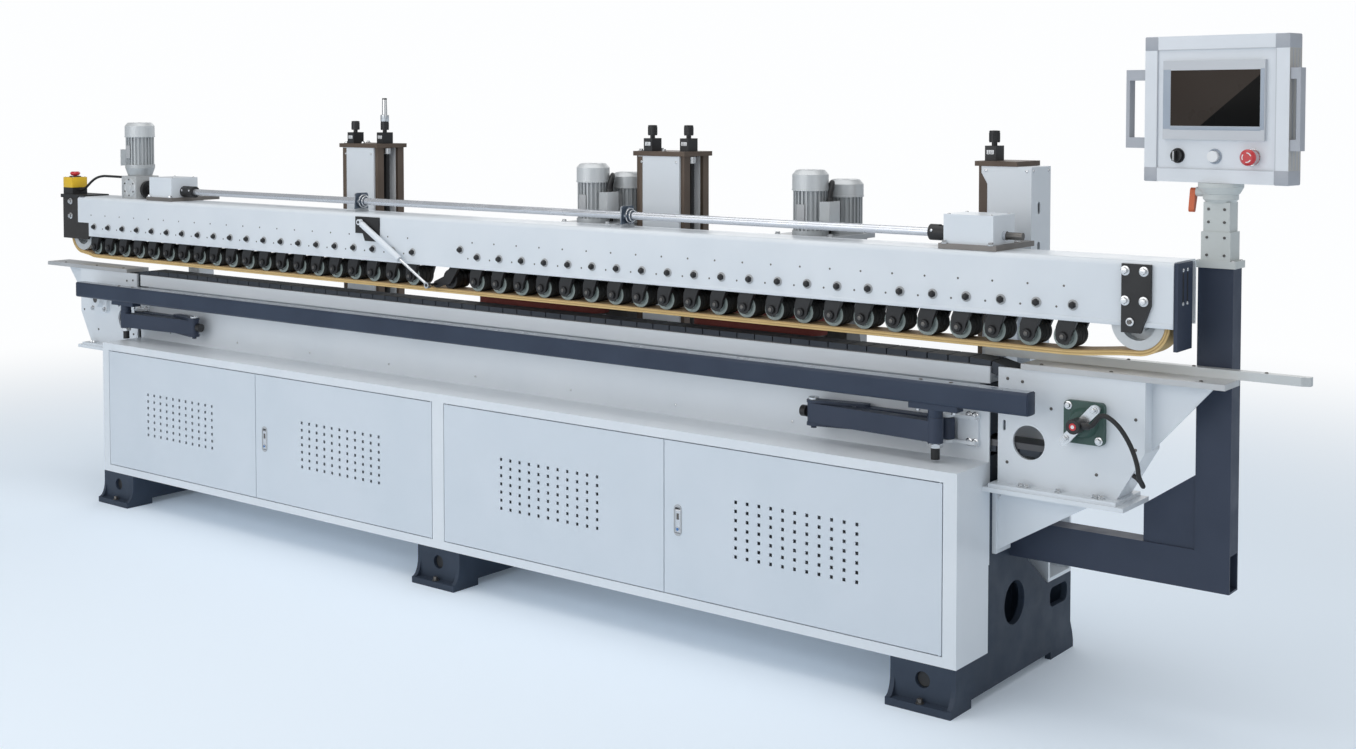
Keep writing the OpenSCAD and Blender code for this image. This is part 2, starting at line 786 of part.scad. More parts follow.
module end_tables() {
    color(c_grey) place() {
        block([half + slab_start, slab_front, slab_low],
            [half + infeed_end, slab_back, slab_low + slab_t]);
        block([-half - outfeed_end, slab_front, slab_low],
            [-half - slab_start, slab_back, slab_low + slab_t]);
    }
}
module infeed_fence() {
    y0 = slab_back - 13;
    color(c_steel) place() translate([0, 0, slab_low + slab_t]) linear_extrude(fence_h) polygon([
        [half - 60, y0], [half + fence_tip - 20, y0], [half + fence_tip, y0 + 8],
        [half + fence_tip, y0 + fence_d], [half - 60, y0 + fence_d]]);
}

// Square flange bearings on both sides of each end housing
module flange_bearing(x, y, out) {
    translate([x, y, wheel_z]) scale([1, out, 1]) difference() {
        union() {
            plate_xz(0, bearing_t) translate([-bearing_side / 2, -bearing_side / 2])
                round_rect(bearing_side, bearing_side, 12);
            translate([0, bearing_t - eps, 0]) rotate([-90, 0, 0])
                cylinder(h = bearing_boss_h - bearing_t + eps, r1 = bearing_boss_r + 8,
                    r2 = bearing_boss_r);
        }
        rod_y(0, 0, -eps, bearing_boss_h + eps, wheel_shaft_r + run_gap);
    }
}
module flange_bearings() {
    color(c_green) place() for (x = [-wheel_x, wheel_x]) {
        translate([0, 2 * bed_front, 0]) mirror([0, 1, 0]) flange_bearing(x, bed_front, 1);
        flange_bearing(x, housing_back + housing_t, 1);
    }
}

// Feed encoder on the idler shaft, held by a bar from one bearing bolt
encoder_r = 19;
module feed_encoder() {
    bolt = [wheel_x + bearing_bolt / 2, wheel_z + bearing_bolt / 2];
    foot = [wheel_x - 40, wheel_z - 46];
    y1 = bearing_front - 6 - slide_gap;
    color(c_steel) place() {
        rod_y(wheel_x, wheel_z, y1 - 40, y1 - 7, encoder_r);
        plate_xz(y1 - 8, y1) link_2d(bolt, foot, 13, 12);
        rod_y(bolt[0], bolt[1], y1 - 1, bed_front - bearing_t, 7);
        rod_x(wheel_x + encoder_r - 4, wheel_x + encoder_r + 10, y1 - 24, wheel_z + 2, 8);
    }
}
// Encoder cable: out of the encoder, over and down to the slanted end wall
cable_r = 6;
enc_y = bearing_front - 6 - slide_gap - 24;
encoder_route = [for (p = [[29.3, 2], [35, 2], [44, 6], [54, 18], [64, 31], [78, 34], [93, 28], [107, 18],
        [120, 5], [132, -11], [143, -29], [152, -48], [159, -67], [164, -86], [166, -102]])
    [wheel_x + p[0], enc_y, wheel_z + p[1]]];
encoder_turn = [[167, 8, -115], [166, 24, -128], [161, 42, -137], [153, 58, -140], [142, 70, -133.8],
    [130.65, 75, -126.95], [121.15, 75, -121.4]];
module encoder_cable() {
    path = concat(encoder_route, [for (p = encoder_turn) [wheel_x + p[0], enc_y + p[1], wheel_z + p[2]]]);
    color(c_black) place() tube(path, cable_r, [0.35, 0.9, 0.25]);
}

// Lift columns behind the beam, each bored for its screw
module lift_columns() {
    color(c_white) place() for (x = lift_x) difference() {
        union() {
            block([x - lift_col / 2, lift_y - lift_col / 2, bed_top],
                [x + lift_col / 2, lift_y + lift_col / 2, lift_top]);
            block([x - lift_col / 2 - 20, lift_y - lift_col / 2, bed_top],
                [x + lift_col / 2 + 20, lift_y + lift_col / 2, bed_top + 16]);
        }
        rod_z(x, lift_y, lift_top - 250, lift_top + eps, screw_r + slide_gap);
    }
}

// Rear bed on the machined ledges, with its top plate
module rear_bed() {
    color(c_white) place() {
        difference() {
            block([-half, rear_front, ledge_h], [half, rear_back, rear_top - rear_plate_t]);
            block([-half - eps, rear_front + bed_wall, ledge_h + bed_wall],
                [half + eps, rear_back - bed_wall, rear_top - rear_plate_t - bed_wall]);
        }
        block([-half, column_y - 20, rear_top - rear_plate_t], [half, rear_back, rear_top]);
    }
}

// Unit columns: front and rear plate between a foot and a top plate
module unit_columns() {
    color(c_brown) place() for (c = columns) {
        x0 = c[0];
        x1 = c[0] + c[1];
        back = column_y + column_d;
        block([x0, column_y, rear_top], [x1, column_y + column_t, c[2] - 14]);
        block([x0, back - column_t, rear_top], [x1, back, c[2] - 14]);
        block([x0, column_y, rear_top], [x1, back, rear_top + column_t]);
        block([x0 - 8, column_y - 10, c[2] - 15], [x1 + 8, back + 8, c[2]]);
    }
    color(c_brown) place() {
        e = end_column;
        block([e[0], column_y, rear_top], [e[0] + 12, column_y + end_column_d, e[2]]);
        block([e[0] - 8, column_y - 10, e[2]], [e[1] - 42, column_y + end_column_d + 20, e[2] + 14]);
    }
}
cover_t = 8;
end_column_d = 112;
module column_covers() {
    color(c_white) place() for (c = columns) {
        x0 = c[0];
        x1 = c[0] + c[1];
        block([x0 + 12, column_y - cover_t, rear_top + 60], [x1 - 14, column_y, c[2] - 15]);
        block([x0 + 4, column_y + column_t, rear_top + column_t],
            [x1 - 46, column_y + column_d - column_t, c[2] - 15]);
    }
    color(c_white) place() difference() {
        w = 5;
        a = [end_column[0] + 12, column_y - cover_t, rear_top];
        b = [end_column[1], column_y + end_column_d, end_column[2]];
        block(a, b);
        block([a[0] + w, a[1] + w, a[2] - eps], [b[0] - w, b[1] - w, b[2] - w]);
        for (z = [b[2] - 224, b[2] - 114]) translate([b[0] - w - eps, column_y + 40, z]) rotate([90, 0, 90])
            linear_extrude(w + 2 * eps) obround(16, 34);
    }
}
// Height screws in the open side of the columns, with counters and hand knobs on top
height_screw_r = 11;
counter = [34, 50, 42];
knob_r = 15;
knob_h = 32;
clamp_rod = 96;
module counter_unit(x, y, z, rod) {
    block([x - counter[0] / 2, y - counter[1] / 2, z],
        [x + counter[0] / 2, y + counter[1] / 2, z + counter[2]]);
    rod_z(x, y, z + counter[2] - eps, z + counter[2] + 10, 8);
    rod_z(x, y, z + counter[2] + 9, z + counter[2] + 9 + knob_h, knob_r);
    if (rod > 0) rod_z(x, y, z + counter[2] + knob_h, z + counter[2] + knob_h + rod, 9);
}
module adjusting_screws() {
    color(c_black) place() for (i = [0:len(columns) - 1]) {
        c = columns[i];
        sx = c[0] + c[1] - 24;
        sy = column_y + column_d / 2;
        rod_z(sx, sy, rear_top + column_t, c[2] - 15, height_screw_r);
        counter_unit(sx - 8, sy, c[2], i == 0 ? clamp_rod : 0);
        counter_unit(c[0] + 48, column_y + 22, c[2], 0);
    }
    color(c_black) place() counter_unit(end_column[0] + 22, column_y + 50, end_column[2] + 14, 0);
}

// Sanding heads: motor plates, spindle tubes, drums and the frame behind the belts
drum_low = abrasive_z - 4;
module sanding_heads() {
    color(c_grey) place() for (h = heads) {
        top = head_plate_z;
        block([h[0] - head_plate_out[0], head_y - head_plate_edge, top - head_plate_t],
            [h[1] + head_plate_out[1], rear_motor_y + head_plate_edge, top]);
        block([h[0] - 50, column_y - 4, rear_top],
            [h[1] + 40, rear_motor_y + head_post_edge, top - head_plate_t + eps]);
        for (x = [h[0], h[2]]) rod_z(x, head_y, drum_low, abrasive_z + abrasive_h + 4,
            drum_r - slide_gap);
        rod_z(h[0], head_y, abrasive_z + abrasive_h + 3, top - head_plate_t + eps, 34);
        rod_z(h[2], head_y, abrasive_z + abrasive_h + 3, abrasive_z + abrasive_h + 24, 16);
        block([h[2] - 30, head_y - 16, abrasive_z + abrasive_h + 12],
            [h[0] - 20, head_y + 16, abrasive_z + abrasive_h + 30]);
        block([h[2] + 70, head_y - drum_r + slide_gap, abrasive_z],
            [h[0] - 70, head_y - drum_r + 12, abrasive_z + abrasive_h]);
        block([h[2] + 120, head_y - drum_r + 11, abrasive_z + 20],
            [h[0] - 120, head_y - drum_r + 30, abrasive_z + abrasive_h + 13]);
    }
}
box_h = 64;
// Vertical motor with fins, fan cowl and terminal box
module motor(x, y, z, r, h, side, box_low) {
    cowl = 0.3 * h;
    rod_z(x, y, z, z + 14, r);
    translate([x, y, z + 12]) linear_extrude(h - cowl - 10) finned_2d(r - 3, r - 10, 24);
    translate([x, y, z]) rotate_extrude() polygon([[0, h - cowl], [r, h - cowl], [r, h - 12],
        [r - 10, h], [0, h]]);
    bx = x + side * (r + 14);
    block([bx - 17, y - 30, z + box_low], [bx + 17, y + 26, z + box_low + box_h]);
}
head_box = 37;
module sanding_motors() {
    color(c_grey) place() for (h = heads) {
        motor(h[0], head_y, head_plate_z, motor_r, motor_h, 1, head_box);
        motor(h[1], rear_motor_y, head_plate_z, motor_r, motor_h - rear_motor_drop, -1, head_box);
    }
}
// Black sleeves from the front motors' terminal boxes down through the motor plates
lead_r = 8;
lead_route = [[14, 0, 0], [14, 0, 12], [13, 5, 27], [10, 16, 41], [4, 28, 50], [-4, 40, 53],
    [-13, 50, 48], [-21, 56, 37], [-27, 59, 22], [-29, 59.5, 4], [-29, 59.5, -40], [-29, 59.5, -80],
    [-29, 59.5, -head_box - box_h]];
module motor_leads() {
    color(c_black) place() for (h = heads) {
        path = [for (p = lead_route)
            [h[0] + motor_r + p[0], head_y + p[1], head_plate_z + head_box + box_h + p[2] + 0.3]];
        tube(path, lead_r, [0.8, 0.6, 0]);
    }
}
// Abrasive belts round their two drums
module abrasive_belts() {
    color(c_abrasive) place() for (h = heads)
        translate([0, 0, abrasive_z]) linear_extrude(abrasive_h) difference() {
            link_2d([h[2], head_y], [h[0], head_y], drum_r + abrasive_t, drum_r + abrasive_t);
            link_2d([h[2], head_y], [h[0], head_y], drum_r, drum_r);
        }
}

// Console post: arm from the right base, upright tube and gusset
arm_h = 100;
post_wall = 5;
module console_post() {
    top = base_top_h + arm_h;
    color(c_slate) place() {
        difference() {
            block([half, post_y, base_top_h], [post_x + post_w, post_y + post_d, top]);
            block([half + 12, post_y + post_wall, base_top_h + post_wall],
                [post_x + post_w + eps, post_y + post_d - post_wall, top - post_wall]);
        }
        difference() {
            block([post_x, post_y, top - eps], [post_x + post_w, post_y + post_d, post_top]);
            block([post_x + post_wall, post_y + post_wall, top], [post_x + post_w - post_wall,
                post_y + post_d - post_wall, post_top + eps]);
        }
        plate_xz(post_y + 4, post_y + 16) polygon([[post_x - 135, top - eps], [post_x + eps, top - eps],
            [post_x + eps, top + 190], [post_x - 135, top + 96]]);
    }
}
// Neck: foot plate, square column in two lengths and the lower swivel cone
neck_side = 66;
swivel_r = 55;
swivel_h = 48;
module console_neck() {
    top = con_low - swivel_gap;
    color(c_grey) place() translate([console_c[0], console_c[1], 0]) difference() {
        union() {
            block([-post_w / 2 - 6, -post_d / 2 - 6, neck_low],
                [post_w / 2 + 6, post_d / 2 + 6, neck_low + 18]);
            block([-neck_side / 2, -neck_side / 2 + 4, neck_low + 17],
                [neck_side / 2, neck_side / 2 - 4, top - swivel_h + eps]);
            block([-neck_side / 2 - 4, -neck_side / 2, neck_low + 17],
                [neck_side / 2 + 4, neck_side / 2, neck_low + 90]);
            translate([0, 0, top - swivel_h]) rotate_extrude() polygon([[0, 0], [swivel_r - 20, 0],
                [swivel_r - 12, 8], [swivel_r - 12, 20], [swivel_r - 9, 22], [swivel_r, swivel_h - 10],
                [swivel_r, swivel_h], [0, swivel_h]]);
            rod_z(0, 0, top - eps, con_low + 10, 16);
            rod_x(-lever_boss, -swivel_r + 20, 0, lever_z, 12);
        }
        rod_x(-lever_boss - eps, -lever_boss + 24, 0, lever_z, lever_pin_r + run_gap);
    }
}
// Clamp lever, its pin in the boss of the neck
lever_z = con_low - 24;
lever_boss = swivel_r + 6;
lever_pin_r = 6;
module clamp_lever() {
    x0 = console_c[0] - lever_boss;
    color([0.85, 0.36, 0.12]) place() {
        rod_x(x0 - 10, x0 + 16, console_c[1], lever_z, lever_pin_r);
        plate_yz(x0 - 14 - slide_gap, x0 - slide_gap) translate([console_c[1], lever_z])
            link_2d([0, 0], [-12, -44], 10, 7);
    }
}

// The console turns about its neck; its parts are drawn facing the operator
module console_frame() {
    place() translate([console_c[0], console_c[1], 0]) rotate([0, 0, con_turn])
        translate([con_shift, 0, 0]) children();
}
handle_h = 200;
handle_out = [26, 56];
handle_d = 26;
rim = 34;
con_sheet = 5;
module console_box() {
    color(c_white) console_frame() {
        difference() {
            translate([-con_w / 2, 0, con_low]) plate_xz(con_front,
                con_front + con_d) round_rect(con_w, con_h, 10);
            block([-con_w / 2 + rim, con_front - eps, con_low + rim],
                [con_w / 2 - rim, con_front + 4, con_low + con_h - rim]);
            rod_z(-con_shift, 0, con_low - eps, con_low + 11, 16 + run_gap);
            for (x = button_x) rod_y(x, button_z, con_front - eps, con_front + 31, 8 + run_gap);
            block([screen_c - 118, con_front, screen_low + 10],
                [screen_c + 118, con_front + 20, screen_low + screen_h - 10]);
            block([-con_w / 2 + con_sheet, con_front + 30, con_low + 16],
                [con_w / 2 - con_sheet, con_front + con_d - con_sheet, con_low + con_h - con_sheet]);
        }
        for (i = [0, 1]) mirror([i, 0, 0]) {
            z0 = con_low + (con_h - handle_h) / 2;
            y0 = con_front + 4;
            x1 = con_w / 2 + handle_out[i];
            for (z = [z0, z0 + handle_h - 27])
                block([con_w / 2 - eps, y0, z], [x1 - 9, y0 + handle_d, z + 27]);
            block([x1 - 10, y0, z0], [x1, y0 + handle_d, z0 + handle_h]);
        }
    }
}
screen_w = 271;
screen_h = 197;
screen_c = -2.5;
screen_low = con_low + 107;
button_x = [-100, 0, 99];
module touch_screen() {
    color(c_grey) console_frame() {
        difference() {
            block([screen_c - screen_w / 2, con_front - 6, screen_low],
                [screen_c + screen_w / 2, con_front + 4, screen_low + screen_h]);
            block([screen_c - 114, con_front - 7, screen_low + 34],
                [screen_c + 122, con_front - 4, screen_low + screen_h - 24]);
        }
        block([screen_c - 114, con_front + 3, screen_low + 14],
            [screen_c + 114, con_front + 18, screen_low + screen_h - 14]);
    }
}
// Operating elements, each on a stem in its own bore
stem_r = 8;
module stem(x, out) {
    rod_y(x, button_z, con_front + 4 - out, con_front + 24, stem_r);
}
module selector_knob() {
    color(c_black) console_frame() {
        stem(button_x[0], 6);
        rod_y(button_x[0], button_z, con_front - 8, con_front + 3.5, 15);
        block([button_x[0] - 4, con_front - 20, button_z - 13],
            [button_x[0] + 4, con_front - 7, button_z + 13]);
    }
}
module push_button() {
    color(c_white) console_frame() {
        stem(button_x[1], 12);
        rod_y(button_x[1], button_z, con_front - 10, con_front - 3, 14);
    }
}
module mushroom(x, y, z, r, h) {
    translate([x, y, z]) rotate([90, 0, 0]) rotate_extrude()
        polygon([[0, 0], [r - 6, 0], [r, 6], [r, h - 5], [r - 5, h], [0, h]]);
}
module console_estop() {
    color([0.75, 0.10, 0.12]) console_frame() {
        stem(button_x[2], 16);
        mushroom(button_x[2], con_front - 11, button_z, 20, 16);
    }
}

// Support arms: wall bracket, two links and the bar
// side is 1 where the elbow lies towards negative X
module arm_bracket(x, side, offset) {
    ear_low = link_z - 10;
    ear_high = link_z + link_h + 2;
    px = x + offset;
    clear = barrel_r + 2;
    difference() {
        block([px - 30, bed_front - 8, link_z - 14], [px + 30, bed_front, link_z + link_h + 18]);
        block([side > 0 ? x - 90 : x - clear, bed_front - 9, link_z - 2],
            [side > 0 ? x + clear : x + 90, bed_front + eps, link_z + link_h + 2]);
    }
    for (z = [ear_low, ear_high]) {
        block([min(x - 14, px - 30), shoulder_y, z], [max(x + 14, px + 30), bed_front - 7, z + 8]);
        rod_z(x, shoulder_y, z, z + 8, 18);
    }
    rod_z(x, shoulder_y, ear_low, ear_high + 8, shoulder_pin_r);
}
module arm_brackets() {
    color(c_white) place() {
        arm_bracket(arm_right_x, 1, 53);
        arm_bracket(arm_left_x, -1, 0);
    }
}
// Inner link, drawn about its shoulder with the elbow towards negative X
module inner_link() {
    dy = elbow_y - shoulder_y;
    fork_x = -elbow_run + fork_len;
    difference() {
        union() {
            rod_z(0, 0, link_z, link_z + link_h, barrel_r);
            block([fork_x, -link_w / 2, link_z], [0, link_w / 2, link_z + link_h]);
            for (z = [link_z - fork_t, link_z + link_h])
                translate([0, 0, z]) linear_extrude(fork_t)
                    strap_2d([fork_x + 20, -2], [-elbow_run, dy], link_w / 2 - 3, 20);
            rod_z(-elbow_run, dy, link_z - fork_t - 8, link_z + link_h + fork_t + 8, elbow_pin_r);
        }
        rod_z(0, 0, link_z - eps, link_z + link_h + eps, shoulder_pin_r + run_gap);
    }
}
// Outer link, drawn about its elbow with the wrist towards positive X
module outer_link(play) {
    dy = wrist_y - elbow_y;
    turn = atan2(dy, elbow_run);
    z0 = link_z + slide_gap;
    z1 = link_z + link_h - slide_gap;
    difference() {
        union() {
            translate([0, 0, z0]) linear_extrude(z1 - z0)
                strap_2d([0, 0], [elbow_run, dy], link_w / 2, link_w / 2);
            rod_z(elbow_run, dy, z0 - 3, z1 + 10, barrel_r);
            rotate(turn) rod_x(-link_w / 2 - 22, -2, 0, link_z + link_h / 2, 5);
            rotate(turn) rod_x(-link_w / 2 - 22, -link_w / 2 - 4, 0, link_z + link_h / 2, 16);
        }
        rod_z(0, 0, z0 - eps, z1 + eps, elbow_pin_r + run_gap);
        rod_z(elbow_run, dy, z0 - 4, z1 + 11, wrist_pin_r + play);
    }
}
module arm_right_inner() {
    color(c_slate) place() translate([arm_right_x, shoulder_y, 0]) inner_link();
}
module arm_right_outer() {
    color(c_slate) place() translate([arm_right_x - elbow_run, elbow_y, 0]) outer_link(run_gap);
}
module arm_left_inner() {
    color(c_slate) place() translate([arm_left_x, shoulder_y, 0]) mirror([1, 0, 0]) inner_link();
}
module arm_left_outer() {
    color(c_slate) place() translate([arm_left_x + elbow_run, elbow_y, 0])
        mirror([1, 0, 0]) outer_link(slide_gap);
}
// Bar with plugs in its ends, carried on a plate and a threaded pin over each wrist
wrist_top = link_z + link_h - slide_gap + 10;
wrist_low = link_z + slide_gap - 3;
module support_bar() {
    color(c_slate) place() {
        difference() {
            translate([0, bar_front, bar_low]) plate_yz(bar_xl, bar_xr) round_rect(bar_d, bar_h, 8);
            block([bar_xl - eps, bar_front + bar_wall, bar_low + bar_wall],
                [bar_xr + eps, bar_front + bar_d - bar_wall, bar_top - bar_wall]);
        }
        for (x = [bar_xl, bar_xr - 6])
            block([x, bar_front + bar_wall, bar_low + bar_wall],
                [x + 6, bar_front + bar_d - bar_wall, bar_top - bar_wall]);
        for (x = [arm_right_x, arm_left_x]) {
            block([x - 72, bar_front + 4, bar_low - 14], [x + 72, bar_front + bar_d - 4, bar_low + eps]);
            rod_z(x, wrist_y, wrist_top + slide_gap, bar_low - 13, 20);
            rod_z(x, wrist_y, wrist_low - 44, bar_low - 13, wrist_pin_r);
            rod_z(x, wrist_y, wrist_low - slide_gap - 12, wrist_low - slide_gap, 18);
        }
    }
}

// Pressure beam: folded channel with guide cheeks round the lift columns
notch = [78, 55];
module beam_profile() {
    inner_r = beam_edge_r - beam_wall;
    difference() {
        union() {
            round_rect(beam_w, beam_h, beam_edge_r);
            square([beam_w, beam_edge_r + eps]);
        }
        translate([beam_wall, -eps]) union() {
            square([beam_w - 2 * beam_wall, beam_h - beam_wall - inner_r + eps]);
            translate([inner_r, 0]) square([beam_w - 2 * beam_wall - 2 * inner_r,
                beam_h - beam_wall + eps]);
            for (y = [inner_r, beam_w - 2 * beam_wall - inner_r])
                translate([y, beam_h - beam_wall - inner_r + eps]) circle(inner_r);
        }
    }
}
module beam_shell() {
    axle_slot = pulley_axle_r + 5;
    color(c_white) place() {
        difference() {
            translate([0, beam_front, beam_low]) plate_yz(beam_xl, beam_xr) beam_profile();
            block([beam_xl - eps, beam_front - eps, beam_low - eps],
                [beam_xl + notch[0], beam_front + beam_wall + eps, beam_low + notch[1]]);
            block([pulley_xr - axle_slot, beam_front - eps, beam_low - eps],
                [pulley_xr + axle_slot, beam_back + eps, pulley_z + axle_slot]);
            block([beam_xl - eps, beam_back - beam_wall - eps, beam_low - eps],
                [beam_xl + notch[0], beam_back + eps, beam_low + notch[1]]);
        }
        rod_y(swing_pivot[0], swing_pivot[1], beam_front + eps, beam_back - eps, swing_pin_r);
        for (x = lift_x, s = [-1, 1]) {
            x0 = x + s * (lift_col / 2 + slide_gap + 6);
            block([x0 - 6, beam_back - eps, beam_low], [x0 + 6, lift_y + 20, beam_top - 20]);
        }
        difference() {
            block([strut_up[0] - 38, beam_front - 5, strut_up[1] - 40],
                [strut_up[0] + 84, beam_front + eps, strut_up[1] + 18]);
            block([strut_up[0] + 20, beam_front - 6, strut_up[1] - 41],
                [strut_up[0] + 85, beam_front + 2, strut_up[1] - 14]);
        }
        rod_y(strut_up[0], strut_up[1], strut_y - 8, beam_front, stud_r);
    }
}

// Brackets that carry the pulley axles, and the guard at the infeed end
guard_gap = 10;
module beam_end_brackets() {
    in_y = [beam_front + beam_wall, beam_back - beam_wall];
    x0 = pulley_xr - 28;
    x1 = pulley_xr + 47;
    low = pulley_z - 22;
    high = beam_top - 8;
    inside = beam_top - beam_edge_r;
    color(c_black) place() {
        for (y = [beam_front - 10, beam_back]) plate_xz(y, y + 10) polygon([[x0, low],
            [pulley_xr + 22, low], [x1, low + 68], [x1, high], [x0, high]]);
        rod_y(pulley_xr, pulley_z, beam_front - 10, beam_back + 10, pulley_axle_r);
        for (y = [in_y[0], in_y[1] - 8]) plate_xz(y, y + 8) polygon([
            [beam_xl - 118, low], [beam_xl + 60, low], [beam_xl + 100, low + 50],
            [beam_xl + 100, inside], [beam_xl - 1, inside], [beam_xl - 1, high],
            [beam_xl - 118, high]]);
        rod_y(pulley_xl, pulley_z, in_y[0], in_y[1], pulley_axle_r);
        block([beam_xl - 118, in_y[0], low], [beam_xl - 110, in_y[1], high]);
        block([beam_xl - 118, in_y[0], high - 8], [beam_xl - 1, in_y[1], high]);
        block([beam_xr, beam_front + 4, belt_low + 36], [beam_xr + 10, beam_front + 100, beam_top - 2]);
    }
}

// Roller arms: sleeve between the beam's walls, two plates and the roller's axle
arm_plate_t = 11;
roller_axle_r = 7;
module roller_arm(x) {
    y0 = beam_front + beam_wall;
    y1 = beam_back - beam_wall;
    a = [x, pivot_z];
    b = [x - arm_trail, axle_z];
    rod_y(a[0], a[1], y0, y1, 14);
    for (y = [roller_front - 2 - arm_plate_t, roller_back + 2])
        plate_xz(y, y + arm_plate_t) link_2d(a, b, 19, 17);
    rod_y(b[0], b[1], roller_front - 6 - arm_plate_t, roller_back + 2 + arm_plate_t, roller_axle_r);
}
module roller_arms() {
    color(c_black) place() for (x = pivots) roller_arm(x);
}
module roller(x, z, r) {
    w = roller_back - roller_front;
    g = 3;
    step = (w - 14) / 3;
    grooves = [for (i = [0:2], p = [[r - 6, 0], [r - 6, g], [r, g],
        [r, step]]) [p[0], 14 + i * step + p[1]]];
    translate([x, roller_front, z]) rotate([-90, 0, 0]) rotate_extrude() polygon(concat(
        [[roller_axle_r + run_gap, 0], [14, 0], [14, 4], [r - 9, 4], [r - 9, 0], [r, 0], [r, 14]],
        grooves, [[roller_axle_r + run_gap, w]]));
}
module pressure_rollers() {
    color(c_tread) place() for (x = pivots) roller(x - arm_trail, axle_z, roller_r - 0.3);
}
module pressure_belt() {
    color(c_tan) place() mirror([0, 0, 1]) plate_xz(belt_front, belt_back) difference() {
        polygon(loop_outline(belt_loop, belt_t));
        polygon(loop_outline(belt_loop, 0));
    }
}
// Belt pulley: rim, web and hub on a fixed axle
module pulley(x) {
    w = belt_w - 4;
    r = pulley_r - slide_gap;
    translate([x, belt_front + 2, pulley_z]) rotate([-90, 0, 0]) rotate_extrude() polygon([
        [pulley_axle_r + run_gap, 0], [24, 0], [24, w / 2 - 6], [r - 24, w / 2 - 6], [r - 24, 0], [r, 0],
        [r, w], [r - 24, w], [r - 24, w / 2 + 6], [24, w / 2 + 6], [24, w],
            [pulley_axle_r + run_gap, w]]);
}
module pulley_right() {
    color(c_grey) place() pulley(pulley_xr);
}
module pulley_left() {
    color(c_grey) place() pulley(pulley_xl);
}

// Swing arm between the roller groups, with its roller and the strut's stud
module swing_arm() {
    y = roller_front - 2 - arm_plate_t;
    color(c_black) place() {
        difference() {
            union() {
                rod_y(swing_pivot[0], swing_pivot[1], y, roller_back + 2 + arm_plate_t, swing_hub_r);
                for (py = [y, roller_back + 2]) plate_xz(py, py + arm_plate_t) union() {
                    strap_2d(swing_pivot, swing_axle, swing_hub_r, 18);
                    strap_2d(swing_axle, strut_low, 15, 12);
                }
            }
            rod_y(swing_pivot[0], swing_pivot[1], y - eps, roller_back + 3 + arm_plate_t,
                swing_pin_r + run_gap);
        }
        rod_y(swing_axle[0], swing_axle[1], y, roller_back + 2 + arm_plate_t, roller_axle_r);
        rod_y(strut_low[0], strut_low[1], strut_y - 8, y + 2, stud_r);
        roller(swing_axle[0], swing_axle[1], roller_r - 0.6);
    }
}
// Gas strut: cylinder with its eye on the beam, rod with its eye on the swing arm
module strut_frame() {
    place() translate([strut_up[0], strut_y, strut_up[1]]) rotate([0, -strut_tilt, 0]) children();
}
module strut_cylinder() {
    color(c_white) strut_frame() difference() {
        union() {
            rod_x(14, strut_body, 0, 0, strut_r);
            rod_x(0, 16, 0, 0, 7);
            rod_y(0, 0, -7, 7, 10);
        }
        rod_y(0, 0, -8, 8, stud_r + run_gap);
        rod_x(strut_body - 120, strut_body + eps, 0, 0, strut_rod_r + run_gap);
    }
}
module strut_rod() {
    color(c_steel) strut_frame() difference() {
        union() {
            rod_x(strut_body - strut_in, strut_run - 4, 0, 0, strut_rod_r);
            rod_y(strut_run, 0, -7, 7, 11);
        }
        rod_y(strut_run, 0, -8, 8, stud_r + stud_play);
    }
}

// Lift gearboxes: base plates with the lift screws, white covers on top
module lift_gearboxes() {
    color(c_white) place() for (i = [0, 1]) {
        x = lift_x[i];
        z = beam_top + gear_plate_t;
        block([x - gear_len / 2 - 12, beam_front + 8, beam_top], [x + gear_len / 2 + 12, lift_y + 30, z]);
        rod_z(x, lift_y, lift_top - screw_in, beam_top + eps, screw_r);
        difference() {
            block([x - gear_len / 2, gear_front, z], [x + gear_len / 2, gear_back, z + gear_h]);
            rod_x(i == 0 ? x : x - gear_len / 2 - eps, x + gear_len / 2 + eps, beam_mid, shaft_z,
                shaft_r + run_gap);
        }
    }
}
// Cross shaft with a clamped coupling at each end and the crank stub at the infeed end
module lift_shaft() {
    x0 = lift_x[0] + 10;
    x1 = lift_x[1] + gear_len / 2 + shaft_stub;
    color(c_steel) place() {
        rod_x(x0, x1 - crank_len, beam_mid, shaft_z, shaft_r);
        rod_x(x1 - crank_len - eps, x1, beam_mid, shaft_z, crank_r);
        for (x = [lift_x[0] + gear_len / 2 + slide_gap,
            lift_x[1] - gear_len / 2 - slide_gap - coupling_len])
            difference() {
                rod_x(x, x + coupling_len, beam_mid, shaft_z, coupling_r);
                rod_x(x + 0.4 * coupling_len, x + 0.6 * coupling_len, beam_mid,
                    shaft_z + 2 * coupling_r, coupling_r + 6);
            }
    }
}
// Shaft bearings: flange units on small angle stands
module shaft_bearings() {
    color(c_steel) place() for (x = shaft_posts) difference() {
        union() {
            block([x - 40, beam_mid - 32, beam_top], [x + 6, beam_mid + 32, beam_top + 5]);
            plate_yz(x, x + 6) translate([beam_mid - stand_w / 2, beam_top])
                round_rect(stand_w, shaft_rise + 30, 10);
            plate_yz(x + 5, x + 16) translate([beam_mid, shaft_z]) rotate(45)
                translate([-21, -21]) round_rect(42, 42, 8);
            rod_x(x + 15, x + 26, beam_mid, shaft_z, 19);
        }
        rod_x(x - 41, x + 27, beam_mid, shaft_z, shaft_r + run_gap);
    }
}
